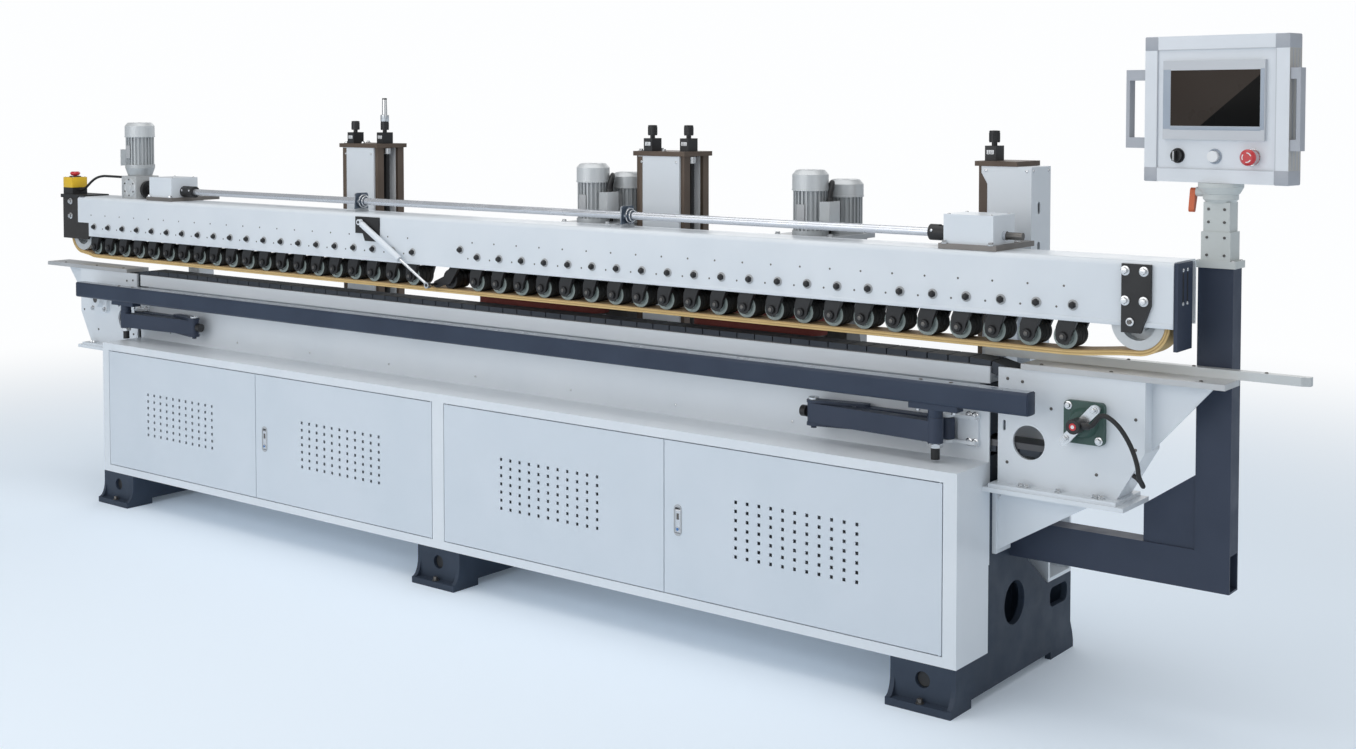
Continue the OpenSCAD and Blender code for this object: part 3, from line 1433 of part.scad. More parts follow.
// Geared lift motor: worm housing, output hub and vertical motor
gear_motor_out = 150;
gear_motor_x = lift_x[0] - gear_len / 2 - gear_motor_out;
module lift_motor() {
    x = gear_motor_x;
    z = beam_top + 92;
    r = lift_motor_r;
    color(c_grey) place() {
        block([x - 50, beam_mid - 52, beam_top], [x + 50, beam_mid + 52, z]);
        rod_x(x + 49, x + gear_motor_out, beam_mid, shaft_z, 16);
        rod_x(x + 49, x + 66, beam_mid, shaft_z, 36);
        translate([x, beam_mid, z - eps]) cylinder(h = 34, r1 = r - 12, r2 = r);
        motor(x, beam_mid, z + 32, r, 182, -1, 9);
    }
}
// Lead from the emergency stop along the beam to the worm housing
stop_x = beam_xl - 88;
stop_side = 68;
stop_low = beam_top + 6;
stop_lead_r = 5;
stop_route = [[34.3, 0], [46, 0], [59, 3.5], [74, 10], [92, 20], [112, 33], [134, 45], [156, 54], [180, 60],
    [204, 63], [228, 64]];
module beam_leads() {
    end_x = gear_motor_x - 50.3;
    path = concat([for (p = stop_route) [stop_x + p[0], beam_mid - 30, stop_low + 16 + p[1]]],
        [[end_x - 18, beam_mid - 30, stop_low + 79], [end_x, beam_mid - 30, stop_low + 78]]);
    color(c_black) place() tube(path, stop_lead_r, [0, 1, 0]);
}
// Emergency stop box on a plate over the outfeed end of the beam
module estop_box() {
    z = stop_low;
    color([0.90, 0.72, 0.10]) place() difference() {
        union() {
            block([stop_x - 40, beam_mid - 74, beam_top - 8], [stop_x + 130, beam_mid + 44, z]);
            block([stop_x - stop_side / 2, beam_mid - 64, z - eps],
                [stop_x + stop_side / 2, beam_mid + 4, z + 70]);
        }
        rod_z(stop_x, beam_mid - 30, z + 30, z + 71, stem_r + run_gap);
        block([beam_xl - 0.5, beam_mid - 80, beam_top - 9], [stop_x + 131, beam_mid + 60, beam_top]);
    }
}
module estop_button() {
    z = stop_low + 70;
    color([0.75, 0.10, 0.12]) place() {
        rod_z(stop_x, beam_mid - 30, z - 22, z + 8, stem_r);
        translate([stop_x, beam_mid - 30, z + 7]) rotate_extrude() polygon([[0, 0], [14, 0],
            [20, 6], [20, 11], [15, 16], [0, 16]]);
    }
}

base_left();
base_middle();
base_right();
cabinet_shell();
bed_beam();
feed_chain();
end_housings();
end_tables();
infeed_fence();
flange_bearings();
feed_encoder();
encoder_cable();
lift_columns();
rear_bed();
unit_columns();
column_covers();
adjusting_screws();
sanding_heads();
sanding_motors();
motor_leads();
abrasive_belts();
console_post();
console_neck();
arm_brackets();
door_a();
door_b();
door_c();
door_d();
latch_b();
latch_d();
arm_right_inner();
arm_right_outer();
arm_left_inner();
arm_left_outer();
support_bar();
beam_shell();
beam_end_brackets();
roller_arms();
pressure_rollers();
pressure_belt();
lift_gearboxes();
lift_motor();
beam_leads();
shaft_bearings();
estop_box();
lift_shaft();
pulley_right();
pulley_left();
swing_arm();
strut_cylinder();
strut_rod();
feed_idler();
feed_drive();
console_box();
touch_screen();
console_estop();
selector_knob();
push_button();
clamp_lever();
estop_button();
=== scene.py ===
"""Looks of a through-feed edge sander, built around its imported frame.

Sizes are millimetres in the machine's own axes: x from the middle of the cabinet
towards the infeed end, y from the cabinet's front to the back, z from the floor.
A place is a matrix that turns them into the frame's metres.
"""

from __future__ import annotations

import logging
import math
from dataclasses import dataclass
from enum import Enum
from typing import Any, Callable, Iterable, Sequence

import bpy
from mathutils import Matrix, Vector


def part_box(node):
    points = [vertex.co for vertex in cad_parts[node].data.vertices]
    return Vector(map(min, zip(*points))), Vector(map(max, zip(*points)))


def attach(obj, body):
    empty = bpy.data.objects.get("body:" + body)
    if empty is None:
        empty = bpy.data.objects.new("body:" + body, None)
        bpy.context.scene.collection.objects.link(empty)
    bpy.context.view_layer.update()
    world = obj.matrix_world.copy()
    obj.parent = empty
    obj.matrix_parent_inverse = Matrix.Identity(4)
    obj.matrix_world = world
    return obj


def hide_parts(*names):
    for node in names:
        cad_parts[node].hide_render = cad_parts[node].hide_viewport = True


log = logging.getLogger("edge_sander")
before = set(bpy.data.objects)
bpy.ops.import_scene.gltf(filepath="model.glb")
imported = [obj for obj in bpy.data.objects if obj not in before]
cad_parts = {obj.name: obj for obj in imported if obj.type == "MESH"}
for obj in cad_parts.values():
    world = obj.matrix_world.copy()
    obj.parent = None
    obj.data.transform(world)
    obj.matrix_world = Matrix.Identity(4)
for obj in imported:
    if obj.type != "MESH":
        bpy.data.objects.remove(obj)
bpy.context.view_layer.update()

Colour = tuple[float, float, float]
Spot = tuple[float, float, float]
Pair = tuple[float, float]
Piece = bpy.types.Object
Tree = bpy.types.NodeTree
Node = bpy.types.Node
Test = Callable[[Vector, Vector], bool]

MM = 0.001
SIDES = (-1, 1)
ORIGIN = (0.0, 0.0, 0.0)
SHARP_EDGE, SHARP_FOLD = math.radians(32.0), math.radians(35.0)

# Cabinet, bed and chain
HALF = 1900.0
BED_FRONT = 175.0
WORK_H = 904.0
WHEEL_X, WHEEL_Z, CHAIN_R = 2171.0, 771.0, 95.0
ENCODER_FRONT, LEAD_Y = 94.5, 110.5

# Pressure beam and what stands on it
BEAM_FRONT, BEAM_BACK, BEAM_MID = 138.0, 288.0, 213.0
BEAM_TOP = 1193.0
BEAM_XR, BEAM_XL = 2408.0, -2282.0
PIVOT_Z = 1071.0
GEAR_X = (-1725.0, 1845.0)
COUPLING_X = (-1651.5, 1701.5)
STAND_X, SHAFT_Z = (-610.0, 625.0), 1230.0
LIFT_X, LIFT_Z = -1948.0, 1317.0
STOP_X, STOP_Y = -2370.0, BEAM_MID - 30.0

# Sanding units: left edge and top of the columns, front and rear motors
COLUMNS = ((-946.0, 1428.0), (498.0, 1424.0))
COVER_FRONT, SCREW_Y = 412.0, 485.0
HEADS = ((368.0, 421.0), (1218.0, 1266.0))
FRONT_MOTOR_Y, REAR_MOTOR_Y, MOTOR_Z = 352.0, 470.0, 1190.0
FRONT_MOTOR_H, REAR_MOTOR_H = 191.0, 160.0

# Support arms
ARM_RIGHT, ARM_LEFT, ARM_REACH = 1788.0, -1870.0, 402.77
ELBOW_RIGHT, ELBOW_LEFT = ARM_RIGHT - ARM_REACH, ARM_LEFT + ARM_REACH

# Console
POST_X, POST_Y = 2452.5, 330.0
CONSOLE_LOW, CONSOLE_FRONT = 1381.0, -32.0
CONSOLE_HALF, CONSOLE_TOP, CONSOLE_BACK = 192.0, 1747.0, 32.0

LOOSE = Matrix.Identity(4)
MACHINE = Matrix.Translation((-63.0 * MM, -340.5 * MM, 0.0))
CONSOLE = (
    MACHINE
    @ Matrix.Translation((POST_X * MM, POST_Y * MM, 0.0))
    @ Matrix.Rotation(math.radians(-8.0), 4, "Z")
    @ Matrix.Translation((-3.0 * MM, 0.0, 0.0))
)


def at(x: float, y: float, z: float) -> Vector:
    """Turn machine millimetres into a point of the frame.

    Args:
        x: Millimetres along the feed.
        y: Millimetres from the front to the back.
        z: Millimetres above the floor.

    Returns:
        The point in metres.
    """
    return MACHINE @ Vector((x * MM, y * MM, z * MM))


def grid(xs: Iterable[float], ys: Iterable[float], zs: Iterable[float]) -> list[Spot]:
    """Give every spot of a grid.

    Args:
        xs: Its places along the feed.
        ys: Its places from the front to the back.
        zs: Its heights.

    Returns:
        The spots, the heights running fastest.
    """
    return [(x, y, z) for x in xs for y in ys for z in zs]


def spread(middles: Iterable[float], steps: Sequence[float]) -> list[float]:
    """Give the places that lie some steps from each middle.

    Args:
        middles: The middles.
        steps: The steps, the same for all.

    Returns:
        The places, middle by middle.
    """
    return [middle + step for middle in middles for step in steps]


def both_ends(places: Iterable[float]) -> list[float]:
    """Give places beyond the cabinet's ends, at the outfeed end and then the infeed end.

    Args:
        places: Millimetres outwards from the end.

    Returns:
        The places along the feed.
    """
    outwards = list(places)
    return [side * (HALF + place) for side in SIDES for place in outwards]


def tune(node: Node, values: dict[str, Any]) -> Node:
    """Set inputs of a shader node.

    Args:
        node: The node.
        values: The values by the inputs' names.

    Returns:
        The node.
    """
    for key, value in values.items():
        node.inputs[key].default_value = value
    return node


def add(tree: Tree, kind: str, values: dict[str, Any] | None = None, **settings: str) -> Node:
    """Add a shader node.

    Args:
        tree: The nodes of a material or of the world.
        kind: The node's type without its prefix.
        values: Inputs to set.
        **settings: The node's own settings, set before the inputs.

    Returns:
        The node.
    """
    made = tree.nodes.new("ShaderNode" + kind)
    for key, value in settings.items():
        setattr(made, key, value)
    return tune(made, values or {})


def wire(tree: Tree, *wires: tuple[Node, str, Node, str | int]) -> None:
    """Join outputs to inputs.

    Args:
        tree: The nodes of a material or of the world.
        *wires: Node and output, then node and input.
    """
    for source, out, target, into in wires:
        tree.links.new(source.outputs[out], target.inputs[into])


class Grain(Enum):
    """How the surface of a finish is broken up: noise size per metre and stretch."""

    POWDER = (900.0, (1.0, 1.0, 1.0))
    CAST = (260.0, (1.0, 1.0, 1.0))
    BRUSHED = (240.0, (0.06, 1.0, 1.0))
    TURNED = (320.0, (1.0, 0.08, 1.0))
    MATT = (700.0, (1.0, 1.0, 1.0))
    GRIT = (2600.0, (1.0, 1.0, 1.0))
    SMOOTH = (60.0, (1.0, 1.0, 1.0))


class Facing(Enum):
    """The way a turned piece points, as a turn from straight up."""

    UP = (0.0, "X")
    DOWN = (180.0, "X")
    FRONT = (90.0, "X")
    BACK = (-90.0, "X")
    RIGHT = (90.0, "Y")
    LEFT = (-90.0, "Y")

    def turn(self) -> Matrix:
        """Give the turn as a matrix."""
        return Matrix.Rotation(math.radians(self.value[0]), 4, self.value[1])


POWDER, CAST, BRUSHED, TURNED, MATT, GRIT, SMOOTH = Grain
UP, DOWN, FRONT, BACK, RIGHT, LEFT = Facing


@dataclass(frozen=True)
class Finish:
    """One paint, metal, rubber or plastic, mixed from two close tones."""

    name: str
    colour: Colour
    tone: Colour
    rough: float
    grain: Grain
    metal: float = 0.0
    coat: float = 0.0
    bump: float = 0.12
    patches: float = 5.0
    speckle: float = 0.0
    gloss: float = 0.5

    def material(self) -> bpy.types.Material:
        """Make the material once, and hand out the same one afterwards.

        Returns:
            The material with its nodes.
        """
        known = bpy.data.materials.get(self.name)
        if known is not None and known.get("edge_sander"):
            return known
        made = bpy.data.materials.new(self.name)
        made["edge_sander"] = True
        made.use_nodes = True
        tree = made.node_tree
        shader = tune(tree.nodes["Principled BSDF"], {
            "Metallic": self.metal, "Coat Weight": self.coat, "Coat Roughness": 0.12,
            "Specular IOR Level": self.gloss})
        spot = add(tree, "TexCoord")
        self._tint(tree, spot, shader)
        self._grain(tree, spot, shader)
        return made

    @staticmethod
    def _noise(tree: Tree, spot: Node, size: float, detail: float, stretch: Spot = (1.0, 1.0, 1.0)) -> Node:
        """Add a noise on the piece's own coordinates.

        Args:
            tree: The material's nodes.
            spot: The coordinate node.
            size: Cells per metre.
            detail: Octaves of the noise.
            stretch: Scale along each axis.

        Returns:
            The noise node.
        """
        mapping = add(tree, "Mapping", {"Scale": stretch})
        noise = add(tree, "TexNoise", {"Scale": size, "Detail": detail})
        wire(tree, (spot, "Object", mapping, "Vector"), (mapping, "Vector", noise, "Vector"))
        return noise

    def _ramp(self, tree: Tree, spot: Node, detail: float, ends: Pair) -> Node:
        """Mix the two tones in soft patches.

        Args:
            tree: The material's nodes.
            spot: The coordinate node.
            detail: Octaves of the patches.
            ends: Where the first tone ends and the second begins.

        Returns:
            The node with the mixed colour.
        """
        ramp = add(tree, "ValToRGB")
        for mark, place, tone in zip(ramp.color_ramp.elements, ends, (self.colour, self.tone)):
            mark.position, mark.color = place, (*tone, 1.0)
        wire(tree, (self._noise(tree, spot, self.patches, detail), "Fac", ramp, "Fac"))
        return ramp

    def _tint(self, tree: Tree, spot: Node, shader: Node) -> None:
        """Vary the colour in soft patches, with a fine speckle where the finish has one.

        Args:
            tree: The material's nodes.
            spot: The coordinate node.
            shader: The shader that takes the colour.
        """
        source, out = self._ramp(tree, spot, 4.0, (0.35, 0.72)), "Color"
        if self.speckle > 0.0:
            fine = self._noise(tree, spot, self.grain.value[0], 2.0)
            dots = add(tree, "MapRange", {"From Min": 0.42, "From Max": 0.68, "To Max": self.speckle})
            bright = [min(1.0, 2.2 * c + 0.05) for c in self.colour]
            mix = add(tree, "Mix", {"B": (*bright, 1.0)}, data_type="RGBA")
            wire(tree, (fine, "Fac", dots, "Value"), (dots, "Result", mix, "Factor"), (source, out, mix, "A"))
            source, out = mix, "Result"
        wire(tree, (source, out, shader, "Base Color"))

    def _grain(self, tree: Tree, spot: Node, shader: Node) -> None:
        """Give the surface its roughness and fine relief.

        Args:
            tree: The material's nodes.
            spot: The coordinate node.
            shader: The shader that takes them.
        """
        size, stretch = self.grain.value
        fine = self._noise(tree, spot, size, 3.0, stretch)
        smear = self._noise(tree, spot, self.patches * 3.0, 3.0)
        rough = add(tree, "MapRange", {
            "From Min": 0.3, "From Max": 0.7,
            "To Min": max(0.03, self.rough - 0.06), "To Max": min(1.0, self.rough + 0.08)})
        bump = add(tree, "Bump", {"Strength": self.bump, "Distance": 0.0006})
        wire(tree, (smear, "Fac", rough, "Value"), (rough, "Result", shader, "Roughness"),
             (fine, "Fac", bump, "Height"), (bump, "Normal", shader, "Normal"))


@dataclass(frozen=True)
class ReflectionSplitFinish(Finish):
    """A glass face in two tones that meet on a slanted line: the lighter tones are a painted reflection, the
    second tone is the dark glass.
    """

    second: Colour = (0.05, 0.05, 0.05)
    along: Spot = (1.0, 0.0, 0.0)
    start: float = 0.0
    blur: float = 0.0006

    def _tint(self, tree: Tree, spot: Node, shader: Node) -> None:
        """Part the colour on the line where along times the place passes start: the painted reflection lies
        below start, the dark glass beyond it.

        Args:
            tree: The material's nodes.
            spot: The coordinate node.
            shader: The shader that takes the colour.
        """
        dot = add(tree, "VectorMath", operation="DOT_PRODUCT")
        dot.inputs[1].default_value = self.along
        edge = add(tree, "MapRange", {"From Min": self.start - self.blur, "From Max": self.start + self.blur})
        tones = self._ramp(tree, spot, 3.0, (0.0, 1.0))
        mix = add(tree, "Mix", {"B": (*self.second, 1.0)}, data_type="RGBA")
        wire(tree, (spot, "Object", dot, 0), (dot, "Value", edge, "Value"), (tones, "Color", mix, "A"),
             (edge, "Result", mix, "Factor"), (mix, "Result", shader, "Base Color"))


WHITE = Finish("white_powder_coat", (0.74, 0.78, 0.82), (0.70, 0.745, 0.79), 0.36, POWDER, coat=0.15)
DOOR = Finish("door_powder_coat", (0.64, 0.695, 0.755), (0.61, 0.67, 0.73), 0.34, POWDER, coat=0.2)
SLATE = Finish("slate_enamel", (0.034, 0.046, 0.075), (0.043, 0.056, 0.089), 0.46, POWDER, gloss=0.3)
SLATE_CAST = Finish("slate_casting", (0.027, 0.039, 0.061), (0.037, 0.052, 0.079), 0.55, CAST, bump=0.35,
                    gloss=0.3)
# The support bar's lighter top is a painted reflection of the white bed above it
BAR_TOP_REFLECTION = Finish("bar_top_painted_reflection", (0.24, 0.28, 0.34), (0.30, 0.34, 0.40), 0.3, POWDER, coat=0.3)
BAR_SLATE = Finish("bar_enamel", (0.025, 0.037, 0.065), (0.034, 0.049, 0.082), 0.36, POWDER, gloss=0.3,
                   coat=0.05)
BLACK = Finish("black_enamel", (0.011, 0.011, 0.012), (0.017, 0.017, 0.018), 0.46, POWDER)
SOOT = Finish("blackened_plate", (0.022, 0.020, 0.019), (0.034, 0.031, 0.029), 0.5, CAST, bump=0.2)
STEEL = Finish("machined_steel", (0.60, 0.61, 0.63), (0.70, 0.71, 0.73), 0.26, BRUSHED, metal=0.9)
BRIGHT = Finish("zinc_plate", (0.66, 0.67, 0.68), (0.74, 0.75, 0.76), 0.24, TURNED, metal=0.95)
DARK_STEEL = Finish("oiled_steel", (0.12, 0.115, 0.11), (0.17, 0.16, 0.15), 0.36, TURNED, metal=0.8)
SLAB = Finish("ground_table", (0.50, 0.51, 0.52), (0.58, 0.59, 0.60), 0.34, BRUSHED, metal=0.3)
FENCE = Finish("fence_bar", (0.56, 0.58, 0.58), (0.64, 0.66, 0.66), 0.32, BRUSHED, metal=0.35)
GREY = Finish("grey_enamel", (0.42, 0.44, 0.46), (0.46, 0.48, 0.50), 0.4, POWDER)
CORNER = Finish("corner_moulding", (0.40, 0.42, 0.46), (0.44, 0.46, 0.50), 0.46, MATT)
NECK = Finish("neck_casting", (0.55, 0.58, 0.57), (0.60, 0.63, 0.62), 0.44, CAST, bump=0.15)
MOTOR = Finish("motor_casting", (0.44, 0.46, 0.47), (0.52, 0.54, 0.55), 0.42, CAST, metal=0.35, bump=0.25)
COWL = Finish("fan_cowl", (0.58, 0.60, 0.61), (0.64, 0.66, 0.67), 0.36, POWDER, metal=0.25)
PAD = Finish("pad_rubber", (0.034, 0.042, 0.056), (0.050, 0.060, 0.076), 0.72, MATT, bump=0.4)
LINK = Finish("chain_links", (0.10, 0.10, 0.105), (0.16, 0.16, 0.165), 0.4, CAST, metal=0.7)
TREAD = Finish("tread_rubber", (0.035, 0.037, 0.037), (0.055, 0.058, 0.056), 0.75, MATT, bump=0.45)
DISC = Finish("roller_disc", (0.27, 0.32, 0.30), (0.33, 0.38, 0.36), 0.5, MATT)
TAN = Finish("belt_face", (0.68, 0.48, 0.20), (0.76, 0.55, 0.26), 0.7, MATT, bump=0.4, patches=9.0)
PLY = Finish("belt_ply", (0.52, 0.35, 0.15), (0.58, 0.41, 0.19), 0.8, GRIT, bump=0.3)
GREEN = Finish("green_casting", (0.038, 0.085, 0.072), (0.055, 0.11, 0.094), 0.45, CAST, bump=0.3)
BROWN = Finish("burnished_plate", (0.095, 0.068, 0.050), (0.145, 0.106, 0.080), 0.46, BRUSHED, metal=0.3)
GEAR_PLATE = Finish("gear_plate", (0.20, 0.185, 0.172), (0.25, 0.23, 0.215), 0.4, BRUSHED, metal=0.5)
SHAFT = Finish("ground_shaft", (0.66, 0.68, 0.72), (0.72, 0.74, 0.78), 0.24, SMOOTH, metal=0.8, bump=0.02)
ABRASIVE = Finish("abrasive_cloth", (0.17, 0.035, 0.028), (0.23, 0.05, 0.04), 0.85, GRIT,
                  bump=0.9, speckle=0.5)
PLASTIC = Finish("black_plastic", (0.014, 0.014, 0.015), (0.022, 0.022, 0.023), 0.38, MATT)
SLEEVE = Finish("cable_sleeve", (0.010, 0.010, 0.011), (0.018, 0.018, 0.019), 0.55, MATT, bump=0.3)
CASE = Finish("console_sheet", (0.74, 0.77, 0.81), (0.70, 0.735, 0.775), 0.36, POWDER, coat=0.1)
CASE_SIDE = Finish("console_side", (0.47, 0.46, 0.44), (0.52, 0.51, 0.49), 0.44, BRUSHED, metal=0.2)
PLATE = Finish("bare_plate", (0.40, 0.41, 0.42), (0.46, 0.47, 0.48), 0.6, MATT)
CASTING = Finish("gear_casting", (0.52, 0.53, 0.53), (0.58, 0.59, 0.59), 0.5, CAST, metal=0.3, bump=0.3)
BEARING = Finish("bearing_ring", (0.10, 0.13, 0.17), (0.15, 0.18, 0.22), 0.36, TURNED, metal=0.6)
INNER = Finish("belt_inner_face", (0.60, 0.41, 0.22), (0.68, 0.48, 0.27), 0.75, BRUSHED, bump=0.4,
               patches=7.0)
BEZEL = Finish("screen_bezel", (0.55, 0.57, 0.60), (0.59, 0.61, 0.64), 0.42, MATT)
BEZEL_SIDE = Finish("bezel_strip", (0.34, 0.39, 0.46), (0.39, 0.44, 0.51), 0.4, MATT)
RED = Finish("red_plastic", (0.56, 0.020, 0.028), (0.64, 0.035, 0.04), 0.32, SMOOTH, coat=0.3, bump=0.03)
YELLOW = Finish("yellow_plastic", (0.80, 0.50, 0.02), (0.86, 0.57, 0.04), 0.38, MATT)
ORANGE = Finish("orange_lever", (0.56, 0.10, 0.03), (0.62, 0.13, 0.04), 0.38, MATT)
IVORY = Finish("white_plastic", (0.80, 0.81, 0.82), (0.76, 0.77, 0.78), 0.3, SMOOTH, bump=0.03)
BLUE = Finish("blue_dot", (0.05, 0.16, 0.40), (0.07, 0.20, 0.46), 0.36, MATT)
# The screen's lighter brown-grey part is a painted reflection across the dark glass
GLASS_WITH_REFLECTION = ReflectionSplitFinish("screen_glass", (0.040, 0.031, 0.026), (0.045, 0.035, 0.029), 0.3, SMOOTH, gloss=0.08,
                    bump=0.02, second=(0.0030, 0.0027, 0.0025), along=(0.62, -0.087, -0.78), start=0.2705)

# The finish of each solid of the frame that the scene shows
COATS: dict[Finish, str] = {
    WHITE: "cabinet_shell bed_beam end_housings lift_columns rear_bed beam_shell strut_cylinder "
           "lift_gearboxes column_covers arm_brackets",
    DOOR: "door_a door_b door_c door_d",
    SLATE_CAST: "base_left base_middle base_right",
    STEEL: "latch_b latch_d",
    LINK: "feed_chain",
    SLAB: "end_tables",
    FENCE: "infeed_fence",
    GREEN: "flange_bearings",
    DARK_STEEL: "feed_idler feed_drive",
    BRIGHT: "feed_encoder strut_rod",
    BLACK: "roller_arms swing_arm beam_end_brackets",
    TREAD: "pressure_rollers",
    COWL: "pulley_left pulley_right",
    MOTOR: "lift_motor sanding_motors",
    SHAFT: "lift_shaft",
    GREY: "shaft_bearings sanding_heads",
    PLASTIC: "estop_box adjusting_screws selector_knob",
    RED: "estop_button console_estop",
    BROWN: "unit_columns",
    SLATE: "arm_right_inner arm_right_outer arm_left_inner arm_left_outer console_post",
    BAR_SLATE: "support_bar",
    NECK: "console_neck",
    ORANGE: "clamp_lever",
    CASE: "console_box",
    BEZEL: "touch_screen",
    IVORY: "push_button",
}


class Bench:
    """Hand operations that shape one new piece at a time, in millimetres."""

    @staticmethod
    def select(*pieces: Piece) -> None:
        """Leave edit mode and select these pieces only.

        Args:
            *pieces: The pieces, the active one first.
        """
        if bpy.context.object is not None and bpy.context.object.mode != "OBJECT":
            bpy.ops.object.mode_set(mode="OBJECT")
        bpy.ops.object.select_all(action="DESELECT")
        for piece in pieces:
            piece.select_set(True)
        if pieces:
            bpy.context.view_layer.objects.active = pieces[0]

    @staticmethod
    def edit() -> None:
        """Open the active piece with its whole mesh selected."""
        bpy.ops.object.mode_set(mode="EDIT")
        bpy.ops.mesh.select_all(action="SELECT")

    @staticmethod
    def face_outwards() -> None:
        """Turn all normals of the open piece outwards."""
        bpy.ops.mesh.select_all(action="SELECT")
        bpy.ops.mesh.normals_make_consistent(inside=False)

    @staticmethod
    def freeze() -> None:
        """Put the place of the selected piece into its mesh."""
        bpy.ops.object.transform_apply(location=True, rotation=True, scale=True)

    @staticmethod
    def settle(piece: Piece, finish: Finish, place: Matrix, foot: Spot = ORIGIN,
               facing: Facing = UP) -> Piece:
        """Stand a piece in its place, put the place into its mesh and coat it.

        Args:
            piece: The piece, drawn upright about the origin.
            finish: Its finish.
            place: The axes of foot.
            foot: Where its origin goes.
            facing: The way it points.

        Returns:
            The piece, with its object at the origin.
        """
        Bench.select(piece)
        piece.matrix_world = place @ Matrix.Translation(Vector(foot) * MM) @ facing.turn()
        Bench.freeze()
        bpy.ops.object.shade_smooth_by_angle(angle=SHARP_EDGE)
        return coat(piece, finish)

    @staticmethod
    def block(finish: Finish, corner: Spot, other: Spot, edge: float, place: Matrix = MACHINE) -> Piece:
        """Make a bar with broken edges.

        Args:
            finish: Its finish.
            corner: One of its corners.
            other: The corner across.
            edge: Width of the broken edges.
            place: The axes of the corners.

        Returns:
            The piece.
        """
        Bench.select()
        low, high = (Vector([end(pair) for pair in zip(corner, other)]) * MM for end in (min, max))
        bpy.ops.mesh.primitive_cube_add(size=1.0, location=(low + high) / 2, scale=high - low)
        piece = bpy.context.object
        Bench.freeze()
        Bench.edit()
        bpy.ops.mesh.bevel(offset=edge * MM, segments=2, affect="EDGES")
        return Bench.settle(piece, finish, place)

    @staticmethod
    def turned(finish: Finish, foot: Spot, facing: Facing, rings: Sequence[Pair], sides: int,
               place: Matrix = MACHINE) -> Piece:
        """Draw out a round or many-sided piece ring by ring.

        Args:
            finish: Its finish.
            foot: The middle of its foot.
            facing: The way it points.
            rings: Radius and height of each ring.
            sides: Number of sides.
            place: The axes of foot.

        Returns:
            The piece.
        """
        Bench.select()
        radius, height = rings[0]
        bpy.ops.mesh.primitive_circle_add(vertices=sides, radius=radius * MM, fill_type="NGON",
                                          location=(0.0, 0.0, height * MM))
        piece = bpy.context.object
        Bench.freeze()
        Bench.edit()
        for r, h in rings[1:]:
            bpy.ops.mesh.extrude_region_move(
                TRANSFORM_OT_translate={"value": (0.0, 0.0, (h - height) * MM)})
            bpy.ops.transform.resize(value=(r / radius, r / radius, 1.0),
                                     center_override=(0.0, 0.0, h * MM))
            radius, height = r, h
        Bench.face_outwards()
        return Bench.settle(piece, finish, place, foot, facing)

    @staticmethod
    def plate(finish: Finish, outline: Sequence[Pair], foot: Spot, facing: Facing, thick: float,
              edge: float = 0.0, place: Matrix = MACHINE) -> Piece:
        """Cut a plate to an outline and draw it out to its thickness.

        Args:
            finish: Its finish.
            outline: Points of the outline, seen from the side it faces.
            foot: The origin of the outline.
            facing: The way the plate faces.
            thick: Its thickness.
            edge: Width of its broken edges.
            place: The axes of foot.

        Returns:
            The piece.
        """
        Bench.select()
        bpy.ops.mesh.primitive_circle_add(vertices=len(outline), radius=1.0, fill_type="NGON")
        piece = bpy.context.object
        for vertex, (x, y) in zip(piece.data.vertices, outline):
            vertex.co = (x * MM, y * MM, 0.0)
        Bench.edit()
        bpy.ops.mesh.extrude_region_move(TRANSFORM_OT_translate={"value": (0.0, 0.0, thick * MM)})
        Bench.face_outwards()
        if edge > 0.0:
            bpy.ops.mesh.bevel(offset=edge * MM, segments=1, affect="EDGES")
        return Bench.settle(piece, finish, place, foot, facing)

    @staticmethod
    def hoop(finish: Finish, middle: Spot, facing: Facing, radius: float, thick: float,
             place: Matrix = MACHINE) -> Piece:
        """Bend a round wire into a closed ring.

        Args:
            finish: Its finish.
            middle: The ring's middle.
            facing: The way the ring faces.
            radius: Radius of the wire's middle line.
            thick: Radius of the wire.
            place: The axes of middle.

        Returns:
            The piece.
        """
        Bench.select()
        bpy.ops.mesh.primitive_circle_add(vertices=10, radius=thick * MM, location=(radius * MM, 0.0, 0.0),
                                          rotation=(math.pi / 2, math.pi / 2, 0.0))
        piece = bpy.context.object
        Bench.freeze()
        Bench.edit()
        bpy.ops.mesh.spin(steps=36, angle=math.tau, center=ORIGIN, axis=(0.0, 0.0, 1.0))
        bpy.ops.mesh.select_all(action="SELECT")
        bpy.ops.mesh.remove_doubles(threshold=0.01 * MM)
        Bench.face_outwards()
        return Bench.settle(piece, finish, place, middle, facing)

    @staticmethod
    def join(pieces: Sequence[Piece]) -> Piece:
        """Join pieces into one object, each with its own finish.

        Args:
            pieces: The pieces.

        Returns:
            The joined piece.
        """
        Bench.select(*pieces)
        if len(pieces) > 1:
            bpy.ops.object.join()
        return pieces[0]

    @staticmethod
    def copies(master: Piece, spots: Iterable[Spot], place: Matrix = MACHINE) -> Piece:
        """Set a master out at several spots and join the copies.

        Args:
            master: A piece drawn about the origin; it is used up.
            spots: Where the copies go.
            place: The axes of the spots.

        Returns:
            The joined copies.
        """
        made = []
        for spot in spots:
            copy = master.copy()
            copy.data = master.data.copy()
            bpy.context.scene.collection.objects.link(copy)
            copy.matrix_world = place @ Matrix.Translation(Vector(spot) * MM)
            made.append(copy)
        bpy.data.objects.remove(master)
        joined = Bench.join(made)
        Bench.freeze()
        return joined

    @staticmethod
    def row(piece: Piece, count: int, step: Spot) -> Piece:
        """Repeat a piece in a straight row.

        Args:
            piece: The first piece.
            count: How many there are.
            step: The way from one to the next.

        Returns:
            The row as one piece.
        """
        Bench.select(piece)
        array = piece.modifiers.new("row", "ARRAY")
        array.use_relative_offset = False
        array.use_constant_offset = True
        array.constant_offset_displace = Vector(step) * MM
        array.count = count
        bpy.ops.object.modifier_apply(modifier=array.name)
        return piece


